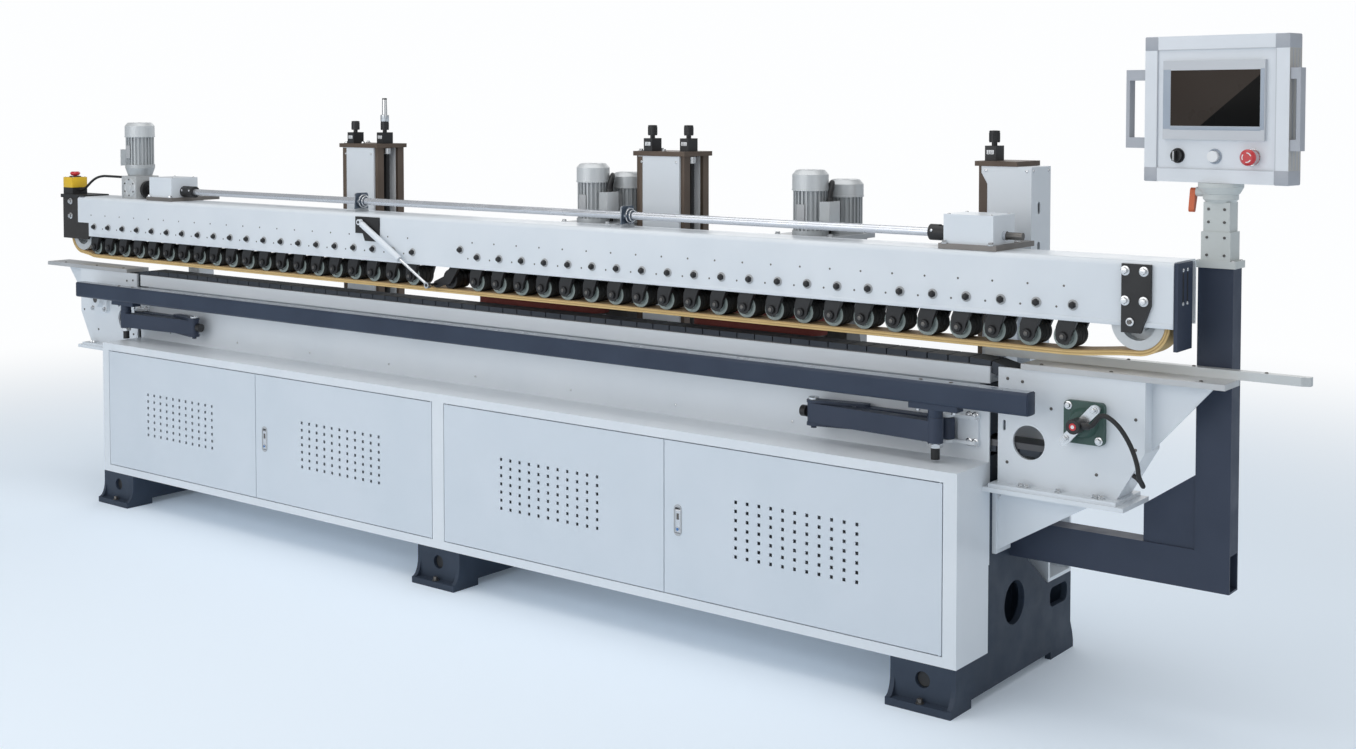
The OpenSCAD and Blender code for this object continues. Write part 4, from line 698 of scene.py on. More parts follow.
def coat(piece: Piece, finish: Finish) -> Piece:
    """Give a piece one finish all over.

    Args:
        piece: A piece or a node of the frame.
        finish: What it is coated with.

    Returns:
        The piece.
    """
    piece.data.materials.clear()
    piece.data.materials.append(finish.material())
    return piece


def tint(name: str, finish: Finish, test: Test, place: Matrix = MACHINE) -> None:
    """Give part of a node another finish.

    Args:
        name: The node of the frame.
        finish: The other finish.
        test: Says of a face's middle, in millimetres, and its normal whether it takes the finish.
        place: The axes of the middle.
    """
    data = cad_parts[name].data
    made = finish.material()
    if made.name not in data.materials:
        data.materials.append(made)
    index = data.materials.find(made.name)
    back = place.inverted()
    for face in data.polygons:
        if test(back @ face.center / MM, face.normal):
            face.material_index = index


def within(low: Spot, high: Spot) -> Test:
    """Make a test for faces inside a box.

    Args:
        low: Its lowest corner.
        high: Its highest corner.

    Returns:
        The test for tint.
    """
    return lambda middle, normal: all(a <= c <= b for a, c, b in zip(low, middle, high))


def fit(name: str, body: str, slot: str, *pieces: Piece) -> Piece:
    """Join finished pieces into one, and let it ride on its body.

    Args:
        name: The name of the joined piece.
        body: The body that carries it.
        slot: The record's slot of its finish; not used.
        *pieces: The pieces.

    Returns:
        The joined piece.
    """
    piece = Bench.join(pieces)
    piece.name = piece.data.name = name
    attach(piece, body)
    log.info("%s rides on %s", piece.name, body)
    return piece


def bolts(name: str, facing: Facing, across: float, head: float, spots: Iterable[Spot],
          body: str = "frame", finish: Finish = BRIGHT, washer: Finish = BRIGHT) -> None:
    """Fit a group of hexagon bolts with washers.

    Args:
        name: The group's name.
        facing: The way the heads point.
        across: Radius of a head over its corners.
        head: Height of a head.
        spots: Where they sit.
        body: The body that carries them.
        finish: Finish of the heads.
        washer: Finish of the washers.
    """
    ring = [(across * 1.42, 0), (across * 1.45, 0.6), (across * 1.45, 2.0), (across * 1.36, 2.4)]
    top = [(across, 2.4), (across, head), (across * 0.86, head + 1.6), (across * 0.5, head + 1.9)]
    master = Bench.join([Bench.turned(washer, ORIGIN, facing, ring, 20, LOOSE),
                         Bench.turned(finish, ORIGIN, facing, top, 6, LOOSE)])
    fit(name, body, "steel", Bench.copies(master, spots))


def screws(name: str, facing: Facing, radius: float, spots: Iterable[Spot], body: str = "frame",
           finish: Finish = BRIGHT, slot: str = "steel", place: Matrix = MACHINE) -> None:
    """Fit a group of screws with low round heads and sockets.

    Args:
        name: The group's name.
        facing: The way the heads point.
        radius: Radius of a head.
        spots: Where they sit.
        body: The body that carries them.
        finish: Their finish.
        slot: The record's slot of the finish.
        place: The axes of the spots.
    """
    rings = [(radius, 0), (radius, 0.8), (radius * 0.86, 1.9), (radius * 0.45, 2.4), (radius * 0.4, 1.1)]
    master = Bench.turned(finish, ORIGIN, facing, rings, 14, LOOSE)
    fit(name, body, slot, Bench.copies(master, spots, place))


@dataclass
class Studio:
    """Floor, lights, background and the photograph's camera, in metres."""

    lens: float = 43.708
    spot: Spot = (3.8394, -4.0665, 1.5773)
    azimuth: float = 37.783
    pitch: float = 2.341
    shift: Pair = (-0.0038, -0.15)
    background: tuple[float, ...] = (0.985, 0.993, 1.0, 1.0)
    fade: Pair = (2.4, 6.5)

    def build(self) -> None:
        """Set the camera first, then the floor, the lamps and the world."""
        scene = bpy.context.scene
        data = bpy.data.cameras.new("camera")
        data.lens = self.lens
        data.sensor_width = 36.0
        data.shift_x, data.shift_y = self.shift
        data.clip_end = 100.0
        camera = bpy.data.objects.new("camera", data)
        camera.location = self.spot
        camera.rotation_euler = (math.radians(90.0 - self.pitch), 0.0, math.radians(self.azimuth))
        scene.collection.objects.link(camera)
        scene.camera = camera
        scene.view_settings.view_transform = "Standard"
        self._floor()
        self._lamp("top_soft", (0.3, -0.8, 5.2), (0.0, 0.0, 0.6), 4.0, 112.0)
        self._lamp("front_soft", (-0.9, -6.0, 2.6), (-0.5, 0.0, 0.7), 4.0, 122.0)
        self._lamp("right_soft", (6.5, -1.6, 2.4), (1.0, 0.0, 0.8), 3.0, 30.0)
        self._lamp("back_soft", (-2.0, 5.5, 3.4), (0.0, 0.2, 0.9), 4.0, 80.0)
        self._world()

    def _floor(self) -> None:
        """Lay a pale floor that keeps the shadow and fades into the background."""
        Bench.select()
        bpy.ops.mesh.primitive_plane_add(size=60.0)
        floor = bpy.context.object
        floor.name = "floor"
        made = bpy.data.materials.new("pale_floor")
        made.use_nodes = True
        tree = made.node_tree
        shader = tune(tree.nodes["Principled BSDF"], {
            "Base Color": (0.82, 0.89, 0.96, 1.0), "Emission Color": (0.66, 0.82, 1.0, 1.0),
            "Emission Strength": 0.1, "Roughness": 0.9, "Specular IOR Level": 0.0})
        pale = add(tree, "Emission", {"Color": self.background})
        spot = add(tree, "TexCoord")
        far = add(tree, "VectorMath", operation="LENGTH")
        near, end = self.fade
        fade = add(tree, "MapRange", {"From Min": near, "From Max": end}, interpolation_type="SMOOTHSTEP")
        path = add(tree, "LightPath")
        seen = add(tree, "Math", operation="MULTIPLY")
        mix = add(tree, "MixShader")
        wire(tree, (spot, "Object", far, 0), (far, "Value", fade, "Value"), (fade, "Result", seen, 0),
             (path, "Is Camera Ray", seen, 1), (seen, "Value", mix, "Fac"), (shader, "BSDF", mix, 1),
             (pale, "Emission", mix, 2), (mix, "Shader", tree.nodes["Material Output"], "Surface"))
        floor.data.materials.append(made)

    @staticmethod
    def _lamp(name: str, spot: Spot, aim: Spot, size: float, power: float) -> None:
        """Hang one soft lamp.

        Args:
            name: The lamp's name.
            spot: Where it hangs.
            aim: The point it looks at.
            size: Its shorter side.
            power: Its power in watts.
        """
        data = bpy.data.lights.new(name, "AREA")
        data.shape = "RECTANGLE"
        data.size, data.size_y = size * 1.6, size
        data.energy = power
        lamp = bpy.data.objects.new(name, data)
        lamp.location = spot
        lamp.rotation_euler = (Vector(aim) - Vector(spot)).to_track_quat("-Z", "Y").to_euler()
        bpy.context.scene.collection.objects.link(lamp)

    def _world(self) -> None:
        """Show a white background that is slightly cool, and light evenly all round."""
        world = bpy.data.worlds.new("studio")
        world.use_nodes = True
        bpy.context.scene.world = world
        tree = world.node_tree
        tree.nodes.clear()
        light = add(tree, "Background", {"Color": (0.95, 0.975, 1.0, 1.0), "Strength": 0.40})
        seen = add(tree, "Background", {"Color": self.background, "Strength": 1.0})
        path = add(tree, "LightPath")
        mix = add(tree, "MixShader")
        out = add(tree, "OutputWorld")
        wire(tree, (path, "Is Camera Ray", mix, "Fac"), (light, "Background", mix, 1),
             (seen, "Background", mix, 2), (mix, "Shader", out, "Surface"))


@dataclass
class Cords:
    """Black leads that go from one housing into another."""

    encoder_run: tuple[Pair, ...] = (
        (29.3, 2), (35, 2), (44, 6), (54, 18), (64, 31), (78, 34), (93, 28), (107, 18), (120, 5),
        (132, -11), (143, -29), (152, -48), (159, -67), (164, -86), (166, -102))
    encoder_turn: tuple[Spot, ...] = (
        (167, 8, -115), (166, 24, -128), (161, 42, -137), (153, 58, -140), (142, 70, -133.8),
        (130.65, 75, -126.95), (121.15, 75, -121.4))
    motor_run: tuple[Spot, ...] = (
        (14, 0, 0), (14, 0, 12), (13, 5, 27), (10, 16, 41), (4, 28, 50), (-4, 40, 53), (-13, 50, 48),
        (-21, 56, 37), (-27, 59, 22), (-29, 59.5, 4), (-29, 59.5, -40), (-29, 59.5, -80), (-29, 59.5, -101))
    stop_run: tuple[Pair, ...] = (
        (34.3, 0), (46, 0), (59, 3.5), (74, 10), (92, 20), (112, 33), (134, 45), (156, 54), (180, 60),
        (204, 63), (228, 64))

    def build(self) -> None:
        """Lay the encoder cable, the two motor sleeves and the stop switch's lead."""
        run = [(WHEEL_X + a, LEAD_Y, WHEEL_Z + c) for a, c in self.encoder_run]
        run += [(WHEEL_X + a, LEAD_Y + b, WHEEL_Z + c) for a, b, c in self.encoder_turn]
        self.lay("encoder_lead", run, 6.0, "frame", "encoder_cable")
        for i, (x, _) in enumerate(HEADS):
            run = [(x + 54 + a, FRONT_MOTOR_Y + b, MOTOR_Z + 101.3 + c) for a, b, c in self.motor_run]
            self.lay(f"motor_sleeve_{i + 1}", run, 8.0, "frame", None if i else "motor_leads")
        end_x = LIFT_X - 50.3
        run = [(STOP_X + a, STOP_Y, 1215 + c) for a, c in self.stop_run]
        run += [(end_x - 18, STOP_Y, 1278), (end_x, STOP_Y, 1277)]
        self.lay("stop_lead", run, 5.0, "beam", "beam_leads")

    def lay(self, name: str, path: Sequence[Spot], radius: float, body: str, node: str | None) -> None:
        """Lay one lead along its route.

        Args:
            name: The lead's name.
            path: Its route.
            radius: Its radius.
            body: The body it rides on.
            node: The node of the frame that it stands for.
        """
        points = [at(*p) for p in path]
        data = bpy.data.curves.new(name, "CURVE")
        data.dimensions = "3D"
        data.bevel_depth = radius * MM
        data.bevel_resolution = 5
        data.use_fill_caps = True
        spline = data.splines.new("POLY")
        fine = self._smooth(points, 4)
        spline.points.add(len(fine) - 1)
        for point, spot in zip(spline.points, fine):
            point.co = (*spot, 1.0)
        spline.use_smooth = True
        lead = bpy.data.objects.new(name, data)
        bpy.context.scene.collection.objects.link(lead)
        data.materials.append(SLEEVE.material())
        fit(name, body, "lead_black", lead)
        if node:
            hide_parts(node)

    @staticmethod
    def _smooth(points: Sequence[Vector], parts: int) -> list[Vector]:
        """Pass a smooth curve through the points of a route.

        Args:
            points: The route.
            parts: New points for each stretch.

        Returns:
            The points of the curve.
        """
        fine: list[Vector] = []
        last = len(points) - 1
        for i in range(last):
            a, b = points[i], points[i + 1]
            ta = (b - points[max(i - 1, 0)]) / 2
            tb = (points[min(i + 2, last)] - a) / 2
            for k in range(parts):
                t = k / parts
                fine.append((2 * t**3 - 3 * t**2 + 1) * a + (t**3 - 2 * t**2 + t) * ta
                            + (3 * t**2 - 2 * t**3) * b + (t**3 - t**2) * tb)
        fine.append(points[-1])
        return fine


@dataclass
class Paint:
    """Finishes of the frame's solids, and the limits at which one gives way to another."""

    outfeed_x: float = 63.0
    bearing_y: float = 240.5
    disc_y: float = 177.5
    soot_x: float = -1937.0
    plate_top: float = BEAM_TOP + 14.6
    worm_top: float = 1286.0
    lift_cowl: float = LIFT_Z + 127.0
    shaft_end: float = 1926.0
    rings_x: tuple[Pair, ...] = ((-606.0, -580.0), (629.0, 656.0))
    drum_top: float = 1010.0
    motor_gap: float = 411.0
    cowl_part: float = 0.69
    # Height above which the bar's upward faces take the painted reflection
    bar_reflection_z: float = 845.0
    stud: Pair = (672.0, 684.1)

    def build(self) -> None:
        """Coat every solid, and then the parts of it that look different."""
        for finish, names in COATS.items():
            for name in names.split():
                coat(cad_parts[name], finish)
                log.info("%s is coated with %s", name, finish.name)
        self._feed()
        self._beam()
        self._lift()
        self._others()

    @staticmethod
    def _is_pad(middle: Vector, normal: Vector) -> bool:
        """Say whether a face of the chain lies on a pad and not on a link.

        Args:
            middle: The face's middle, in millimetres.
            normal: Its normal.

        Returns:
            Whether it takes the finish of the pads.
        """
        x, z = abs(middle.x), middle.z
        if x > WHEEL_X:
            return math.hypot(x - WHEEL_X, z - WHEEL_Z) > CHAIN_R - 1.0
        if z < WHEEL_Z:
            return z < WHEEL_Z - CHAIN_R + 1.0
        if x > HALF - 40:
            return normal.z > 0.3 or z > WHEEL_Z + CHAIN_R + 1.0
        return z > WORK_H - 17.0

    def _is_cowl(self, middle: Vector, normal: Vector) -> bool:
        """Say whether a face of a sanding motor lies on its fan's cowl."""
        height = FRONT_MOTOR_H if middle.y < self.motor_gap else REAR_MOTOR_H
        return middle.z > MOTOR_Z + self.cowl_part * height

    def _feed(self) -> None:
        """Part pads from links and the encoder from its clamp; whiten the outfeed bearing."""
        x, y, z = WHEEL_X, ENCODER_FRONT, WHEEL_Z
        tint("feed_chain", PAD, self._is_pad)
        tint("flange_bearings", WHITE, lambda p, n: p.x < self.outfeed_x and p.y < self.bearing_y)
        tint("feed_encoder", PLASTIC, within((x - 20, y - 1, z - 20), (x + 20, 127.9, z + 20)))
        tint("feed_encoder", PLASTIC, within((x + 14, y, z - 8), (x + 31, 126.0, z + 12)))

    def _beam(self) -> None:
        """Blacken the strut's block, pale the rollers' discs and part the end brackets."""
        tint("beam_shell", BLACK, within((-550, 100, 1120), (-424, 137.9, 1184)))
        tint("pressure_rollers", DISC, lambda p, n: n.y < -0.5 and p.y < self.disc_y)
        tint("beam_end_brackets", SOOT, lambda p, n: p.x < self.soot_x)
        tint("beam_end_brackets", SLATE, lambda p, n: p.x > BEAM_XR - 0.5)

    def _lift(self) -> None:
        """Part gear plates from covers, and the pieces of the lift's motor, shaft and bearings."""
        tint("lift_gearboxes", GEAR_PLATE, lambda p, n: p.z < self.plate_top)
        tint("lift_motor", COWL, lambda p, n: p.z > self.lift_cowl)
        tint("lift_motor", CASTING, lambda p, n: p.z < self.worm_top)
        tint("lift_motor", PLASTIC, within((-1897, 150, 1190), (-1796, 280, 1275)))
        for x in COUPLING_X:
            tint("lift_shaft", BLACK, within((x - 1, 180, 1200), (x + 71, 245, 1260)))
        tint("lift_shaft", DARK_STEEL, lambda p, n: p.x > self.shaft_end)
        for low, high in self.rings_x:
            tint("shaft_bearings", BEARING, within((low, 150, 1204.9), (high, 280, 1300)))

    def _others(self) -> None:
        """Part the pieces of the sanding units, the support bar and the console; the bar's top gets a painted
        reflection.
        """
        tint("sanding_heads", DARK_STEEL, lambda p, n: p.z < self.drum_top)
        tint("sanding_motors", COWL, self._is_cowl)
        # Upward faces of the bar's top take a painted reflection of the white bed
        tint("support_bar", BAR_TOP_REFLECTION, lambda p, n: n.z > 0.9 and p.z > self.bar_reflection_z)
        low, high = self.stud
        tint("support_bar", BRIGHT, lambda p, n: low < p.z < high)
        tint("support_bar", BLACK, lambda p, n: p.z <= low)
        for name, x in (("arm_right_outer", ELBOW_RIGHT - 60), ("arm_left_outer", ELBOW_LEFT + 19)):
            tint(name, PLASTIC, within((x, 60, 690), (x + 41, 170, 740)))
        half = CONSOLE_HALF
        tint("console_box", CORNER, lambda p, n: abs(p.x) > half + 0.5, CONSOLE)
        tint("console_box", CASE_SIDE, lambda p, n: half - 0.3 < abs(p.x) < half + 0.4, CONSOLE)


@dataclass
class Cabinet:
    """Key cylinders of the latches, and the screws and plugs of the castings' toes."""

    toes: tuple[float, ...] = (-HALF + 97, 0.0, HALF - 97)

    def build(self) -> None:
        """Dress the latches and the toes."""
        for letter in "bd":
            self._latch(letter)
        bolts("levelling_screws", UP, 8.0, 11.0, grid(self.toes, (-14.0,), (20.0,)),
              finish=DARK_STEEL, washer=DARK_STEEL)
        plug = Bench.turned(BLACK, ORIGIN, FRONT, [(23, 0), (23, 2), (19, 3), (16, 2)], 28, LOOSE)
        fit("toe_plugs", "frame", "black_paint", Bench.copies(plug, grid(self.toes, (14.0,), (78.0,))))

    @staticmethod
    def _latch(letter: str) -> None:
        """Line a latch's cup in grey and add the key cylinder, and a dark strip that paints the shade of its
        slot.

        Args:
            letter: The letter of its door.
        """
        low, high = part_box(f"latch_{letter}")
        x, _, z = MACHINE.inverted() @ ((low + high) / 2) / MM
        tint(f"door_{letter}", GREY, within((x - 16, -4, z - 50), (x + 16, 14, z + 50)))
        key = [(7, 0), (7, 1.4), (6.2, 2.0), (6.0, 1.4)]
        fit(f"latch_key_{letter}", f"latch_{letter}", "steel",
            Bench.turned(BRIGHT, (x, -1.0, z - 24), FRONT, key, 18),
            Bench.turned(BLUE, (x, -2.2, z - 24), FRONT, [(4.8, 0), (4.6, 0.7), (2.0, 0.9)], 16),
            # Dark strip standing for the slot: painted shade
            Bench.block(DARK_STEEL, (x - 4, -1.8, z + 4), (x + 4, -0.9, z + 22), 0.3))


@dataclass
class Bed:
    """Bolts of the housings, trim of the encoder, and screws and covers of the bed."""

    bearing: Pair = (-41.5, 41.5)
    bearing_back: float = 295.0
    flange_x: tuple[float, ...] = (100, 118, 205, 305, 322)
    table_x: tuple[float, ...] = (140, 330, 560)
    fence_x: tuple[float, ...] = (0, 170, 340, 510, 690)
    joint_z: Pair = (792.0, 834.6)
    lip_z: Pair = (826.0, 835.0)
    panel_y: Pair = (688.0, 692.5)
    housing: tuple[Pair, ...] = (
        (52, 860), (94, 856), (175, 794), (402, 792), (402, 716), (52, 640), (300, 640))
    panels: tuple[float, ...] = (-1420.0, -470.0, 470.0, 1420.0)

    def build(self) -> None:
        """Fit the pieces group by group."""
        self._housings()
        self._encoder()
        self._tables()
        self._covers()

    def _housings(self) -> None:
        """Bolt the bearings, flanges, plates and brackets of both housings."""
        corners = [(s * WHEEL_X + dx, WHEEL_Z + dz)
                   for s in SIDES for dx in self.bearing for dz in self.bearing]
        # The encoder's clamp has the last corner's bolt
        bolts("bearing_bolts", FRONT, 7.5, 8.0, [(x, BED_FRONT - 16.0, z) for x, z in corners[:-1]])
        bolts("bearing_bolts_back", BACK, 7.5, 8.0, [(x, self.bearing_back, z) for x, z in corners])
        bolts("flange_bolts", UP, 7.0, 8.0, grid(both_ends(self.flange_x), (156.0,), (585.0,)))
        plate = [(s * (HALF + x), BED_FRONT, z) for s in SIDES for x, z in self.housing]
        screws("housing_screws", FRONT, 4.2, plate, finish=DARK_STEEL, slot="black_paint")
        for name, facing, side in (("bracket_bolts", RIGHT, 1), ("bracket_bolts_outfeed", LEFT, -1)):
            bolts(name, facing, 7.0, 7.0, grid((side * (HALF + 12.0),), (210.0, 272.0), (540.0,)))

    @staticmethod
    def _encoder() -> None:
        """Give the encoder its face, its lead's gland and its clamp's bolts."""
        x, y, z = WHEEL_X, ENCODER_FRONT, WHEEL_Z
        rim = [(18, 0), (17.4, 1.6), (10.2, 2.2), (9.6, 1.2)]
        fit("encoder_face", "frame", "steel",
            Bench.turned(PLASTIC, (x, y, z), FRONT, rim, 28),
            Bench.turned(RED, (x, y - 1.0, z), FRONT, [(9.4, 0), (9.2, 1.0), (5.0, 1.2)], 28),
            Bench.turned(IVORY, (x, y - 2.0, z), FRONT, [(4.8, 0), (4.6, 0.8), (2.0, 1.1)], 20))
        gland = [(8.6, -6), (8.6, 2), (7.6, 4), (7.6, 7), (6.6, 9)]
        fit("encoder_gland", "frame", "black_plastic",
            Bench.turned(PLASTIC, (x + 29, LEAD_Y, z + 2), RIGHT, gland, 12))
        bolts("encoder_bolts", FRONT, 6.5, 7.0, [(x + 41.5, 126.5, z + 41.5), (x - 34, 126.5, z - 38)])

    def _tables(self) -> None:
        """Screw down the tables and the infeed fence."""
        spots = grid(both_ends(self.table_x), (190.0,), (WORK_H - 1.0,))
        screws("table_screws", UP, 5.0, spots, finish=DARK_STEEL)
        spots = grid(spread((HALF,), self.fence_x), (275.0,), (WORK_H + 21.0,))
        screws("fence_screws", UP, 4.6, spots, finish=DARK_STEEL)

    def _covers(self) -> None:
        """Draw the lip under the track, the covers of its joints and the panels behind."""
        y, (low, high) = BED_FRONT, self.lip_z
        fit("bed_lip", "frame", "white_paint",
            Bench.block(WHITE, (-HALF + 2, y - 3.0, low), (HALF - 2, y + 1.0, high), 1.2))
        low, high = self.joint_z
        fit("bed_joint_covers", "frame", "white_paint", *[
            Bench.block(WHITE, (s * (HALF - 1.0), y + 0.4, low), (s * (HALF + 25.6), y + 4.0, high), 0.8)
            for s in SIDES])
        screws("bed_screws", FRONT, 4.0, grid(range(-1700, 1701, 425), (y,), (666.0,)), slot="white_paint")
        front, back = self.panel_y
        fit("rear_panels", "frame", "white_paint", *[
            Bench.block(DOOR, (x - 400, front, 290.0), (x + 400, back, 650.0), 1.6) for x in self.panels])
        screws("rear_panel_screws", BACK, 5.0,
               grid(spread(self.panels, (-380, 0, 380)), (back,), (308, 632)))


@dataclass
class Beam:
    """Trim of the pressure beam, its rollers and brackets, and the lift on top of it."""

    infeed: int = 22
    outfeed: int = 20
    pitch: float = 100.0
    first: float = 2149.0
    last: float = -2161.0
    axle_drop: float = 85.0
    trail: float = 35.0
    boss_y: float = 155.0
    cheek_y: float = 159.2

    def pivots(self) -> list[float]:
        """Give the places of the roller arms along the beam."""
        return [self.first - i * self.pitch for i in range(self.infeed)] + [
            self.last + i * self.pitch for i in range(self.outfeed)]

    def build(self) -> None:
        """Fit the strut's plate, lip, caps, bosses, brackets, lift details and belts."""
        outline = [(-522, 1150), (-500, 1098), (-432, 1098), (-426, 1104), (-426, 1176), (-432, 1182),
                   (-522, 1182)]
        fit("strut_plate", "beam", "black_paint",
            Bench.plate(BLACK, outline, (0.0, 138.2, 0.0), FRONT, 4.8, 0.6))
        fit("beam_lip", "beam", "white_paint",
            Bench.block(WHITE, (BEAM_XL + 110, 136.4, 1030.5), (BEAM_XR - 2, 139.0, 1043.0), 1.0))
        self._caps()
        self._bosses()
        self._brackets()
        self._gears()
        self._worm_face()
        MotorTrim("lift_fan", LIFT_X, BEAM_MID, LIFT_Z, 58.0, 182.0, -1, 9.0, "beam").build()
        self._shaft()
        self._stop()
        PressureBelt().build()

    @staticmethod
    def _cap(facing: Facing) -> Piece:
        """Make a black domed hexagon nut on a bare washer.

        Args:
            facing: The way the cap points.

        Returns:
            The master.
        """
        washer = [(13.6, 0), (14, 0.6), (14, 1.8), (13, 2.3)]
        dome = [(7.4, 9.4), (7.2, 12), (5.6, 14.2), (2.4, 15.4)]
        return Bench.join([
            Bench.turned(PLATE, ORIGIN, facing, washer, 22, LOOSE),
            Bench.turned(BLACK, ORIGIN, facing, [(9.6, 2.3), (9.6, 8.5), (8.6, 9.6)], 6, LOOSE),
            Bench.turned(BLACK, ORIGIN, facing, dome, 14, LOOSE)])

    def _caps(self) -> None:
        """Set a cap on every pivot, one above the middle, and between them dark discs that paint the shade of
        the small holes.
        """
        for name, facing, y in (("pivot_caps", FRONT, BEAM_FRONT), ("pivot_caps_back", BACK, BEAM_BACK)):
            spots = grid(self.pivots(), (y,), (PIVOT_Z,)) + [(-30.0, y, PIVOT_Z + 21)]
            fit(name, "beam", "black_paint", Bench.copies(self._cap(facing), spots))
        # Small holes drawn as thin dark discs: their dark is painted shade
        hole = Bench.turned(DARK_STEEL, ORIGIN, FRONT, [(3.0, 0), (3.0, 0.35), (2.0, 0.3)], 10, LOOSE)
        spots = [(x - dx, BEAM_FRONT, z) for dx, z in ((25, 1118.0), (45, 1064.0)) for x in self.pivots()]
        fit("beam_hole_shade_discs", "beam", "black_paint", Bench.copies(hole, spots))

    def _bosses(self) -> None:
        """Close the front of every roller's axle with a boss, and cheek every arm."""
        axles = spread(self.pivots(), (-self.trail,))
        height = (PIVOT_Z - self.axle_drop,)
        boss = Bench.join([
            Bench.turned(BLACK, ORIGIN, FRONT, [(12.5, 0), (12.5, 4), (11, 6), (8, 6.6)], 16, LOOSE),
            Bench.turned(DARK_STEEL, ORIGIN, FRONT, [(6.0, 6.4), (5.8, 8.2), (3.0, 8.8)], 12, LOOSE)])
        fit("axle_bosses", "beam", "black_paint", Bench.copies(boss, grid(axles, (self.boss_y,), height)))
        outline = [(-21, 2), (-19, -9), (-12, -17), (0, -21), (13, -18), (21, -8), (24, 10), (42, 52),
                   (50, 74), (6, 74), (-10, 50), (-20, 24)]
        cheek = Bench.plate(BLACK, outline, ORIGIN, FRONT, 3.4, 0.6, LOOSE)
        fit("arm_cheeks", "beam", "black_paint",
            Bench.copies(cheek, grid(axles, (self.cheek_y,), height)))

    @staticmethod
    def _brackets() -> None:
        """Bolt the end brackets, and give the guard plate its screws and black strips that paint the shade of
        its slots.
        """
        xs, zs = (2290.0, 2338.0), (1168.0, 1094.0)
        bolts("bracket_bolts_front", FRONT, 8.5, 9.0, grid(xs, (BEAM_FRONT - 10.0,), zs), "beam")
        bolts("bracket_bolts_rear", BACK, 8.5, 9.0, grid(xs, (BEAM_BACK + 10.0,), zs), "beam")
        bolts("bracket_bolts_outer", FRONT, 9.0, 9.0, grid((-2343.0,), (144.0,), (1170.0, 1109.0)), "beam")
        foot = (2304.0, BEAM_FRONT - 10.0, 1042.0)
        ring = [(10.5, 0), (10.5, 4), (9, 5.4), (7, 5.4), (6.6, 3)]
        fit("tension_nut", "beam", "steel", Bench.turned(BRIGHT, foot, FRONT, ring, 22),
            Bench.turned(DARK_STEEL, foot, FRONT, [(5.6, 2), (5.6, 7), (4.8, 8)], 6))
        x, slots = BEAM_XR + 10.0, (176.0, 204.0)
        # The slots are drawn as thin black strips: painted shade, not openings
        fit("guard_slot_shade_strips", "beam", "black_paint", *[
            Bench.block(PLASTIC, (x - 0.4, y - 4, 1096.0), (x + 0.6, y + 4, 1166.0), 0.4) for y in slots])
        screws("guard_screws", RIGHT, 5.0, grid((x,), slots, (1090.0, 1172.0)), "beam")

    @staticmethod
    def _gears() -> None:
        """Screw the gearboxes' covers down and bolt their plates to the beam."""
        spots = grid(spread(GEAR_X, (-62, 62)), (164.0, 264.0), (1285.0,))
        screws("gear_cover_screws", UP, 4.6, spots, "beam")
        spots = grid(spread(GEAR_X, (-68, 68)), (150.0, 300.0), (BEAM_TOP + 14,))
        bolts("gear_plate_bolts", UP, 7.0, 7.0, spots, "beam")

    @staticmethod
    def _worm_face() -> None:
        """Cover the worm housing's front, and give it its ribs and screws."""
        x, y, z = LIFT_X, BEAM_MID - 52.0, 1239.0
        cover = [(38, 0), (38, 3), (35, 5), (29, 5), (27, 3), (15, 3), (14, 6), (8, 6.6)]
        fit("worm_face", "beam", "motor_grey", Bench.turned(COWL, (x + 6, y, z), FRONT, cover, 32), *[
            Bench.block(COWL, (x + dx, y - 4, z - 42), (x + dx + 3.5, y + 1, z + 42), 1.0)
            for dx in (-47.0, -40.0, 44.0)])
        turns = [math.radians(30 + 60 * k) for k in range(6)]
        spots = [(x + 6 + 32 * math.cos(a), y - 5.0, z + 32 * math.sin(a)) for a in turns]
        screws("worm_screws", FRONT, 3.6, spots, "beam", DARK_STEEL)

    @staticmethod
    def _shaft() -> None:
        """Screw the shaft's couplings, bolt its bearings and give them their rings."""
        spots = grid(spread(COUPLING_X, (12, 58)), (BEAM_MID - 21.2,), (1236.0,))
        screws("coupling_screws", FRONT, 4.2, spots, "cross_shaft")
        spots = grid(spread(STAND_X, (16,)), spread((BEAM_MID,), (-21, 21)), (SHAFT_Z,))
        bolts("stand_bolts", RIGHT, 5.0, 5.0, spots, "beam", BEARING)
        fit("bearing_rings", "beam", "steel", *[
            Bench.hoop(finish, (x + dx, BEAM_MID, SHAFT_Z), RIGHT, radius, thick) for x in STAND_X
            for finish, dx, radius, thick in ((STEEL, 17.0, 22.0, 2.4), (BRIGHT, 26.0, 17.0, 2.0))])

    @staticmethod
    def _stop() -> None:
        """Cap the stop box in yellow and set a collar under its red button."""
        x, y, half = STOP_X, STOP_Y, 34.4
        fit("stop_cap", "beam", "yellow_plastic",
            Bench.block(YELLOW, (x - half, y - half, 1226.0), (x + half, y + half, 1269.4), 1.6))
        collar = [(24, 0), (24, 2), (22, 4.4), (17, 4.8), (16, 3.4)]
        fit("stop_collar", "beam", "black_plastic", Bench.turned(PLASTIC, (x, y, 1269.3), UP, collar, 28))
        spots = grid(spread((x,), (-28, 28)), spread((y,), (-28, 28)), (1269.0,))
        screws("stop_box_screws", UP, 3.2, spots, "beam")


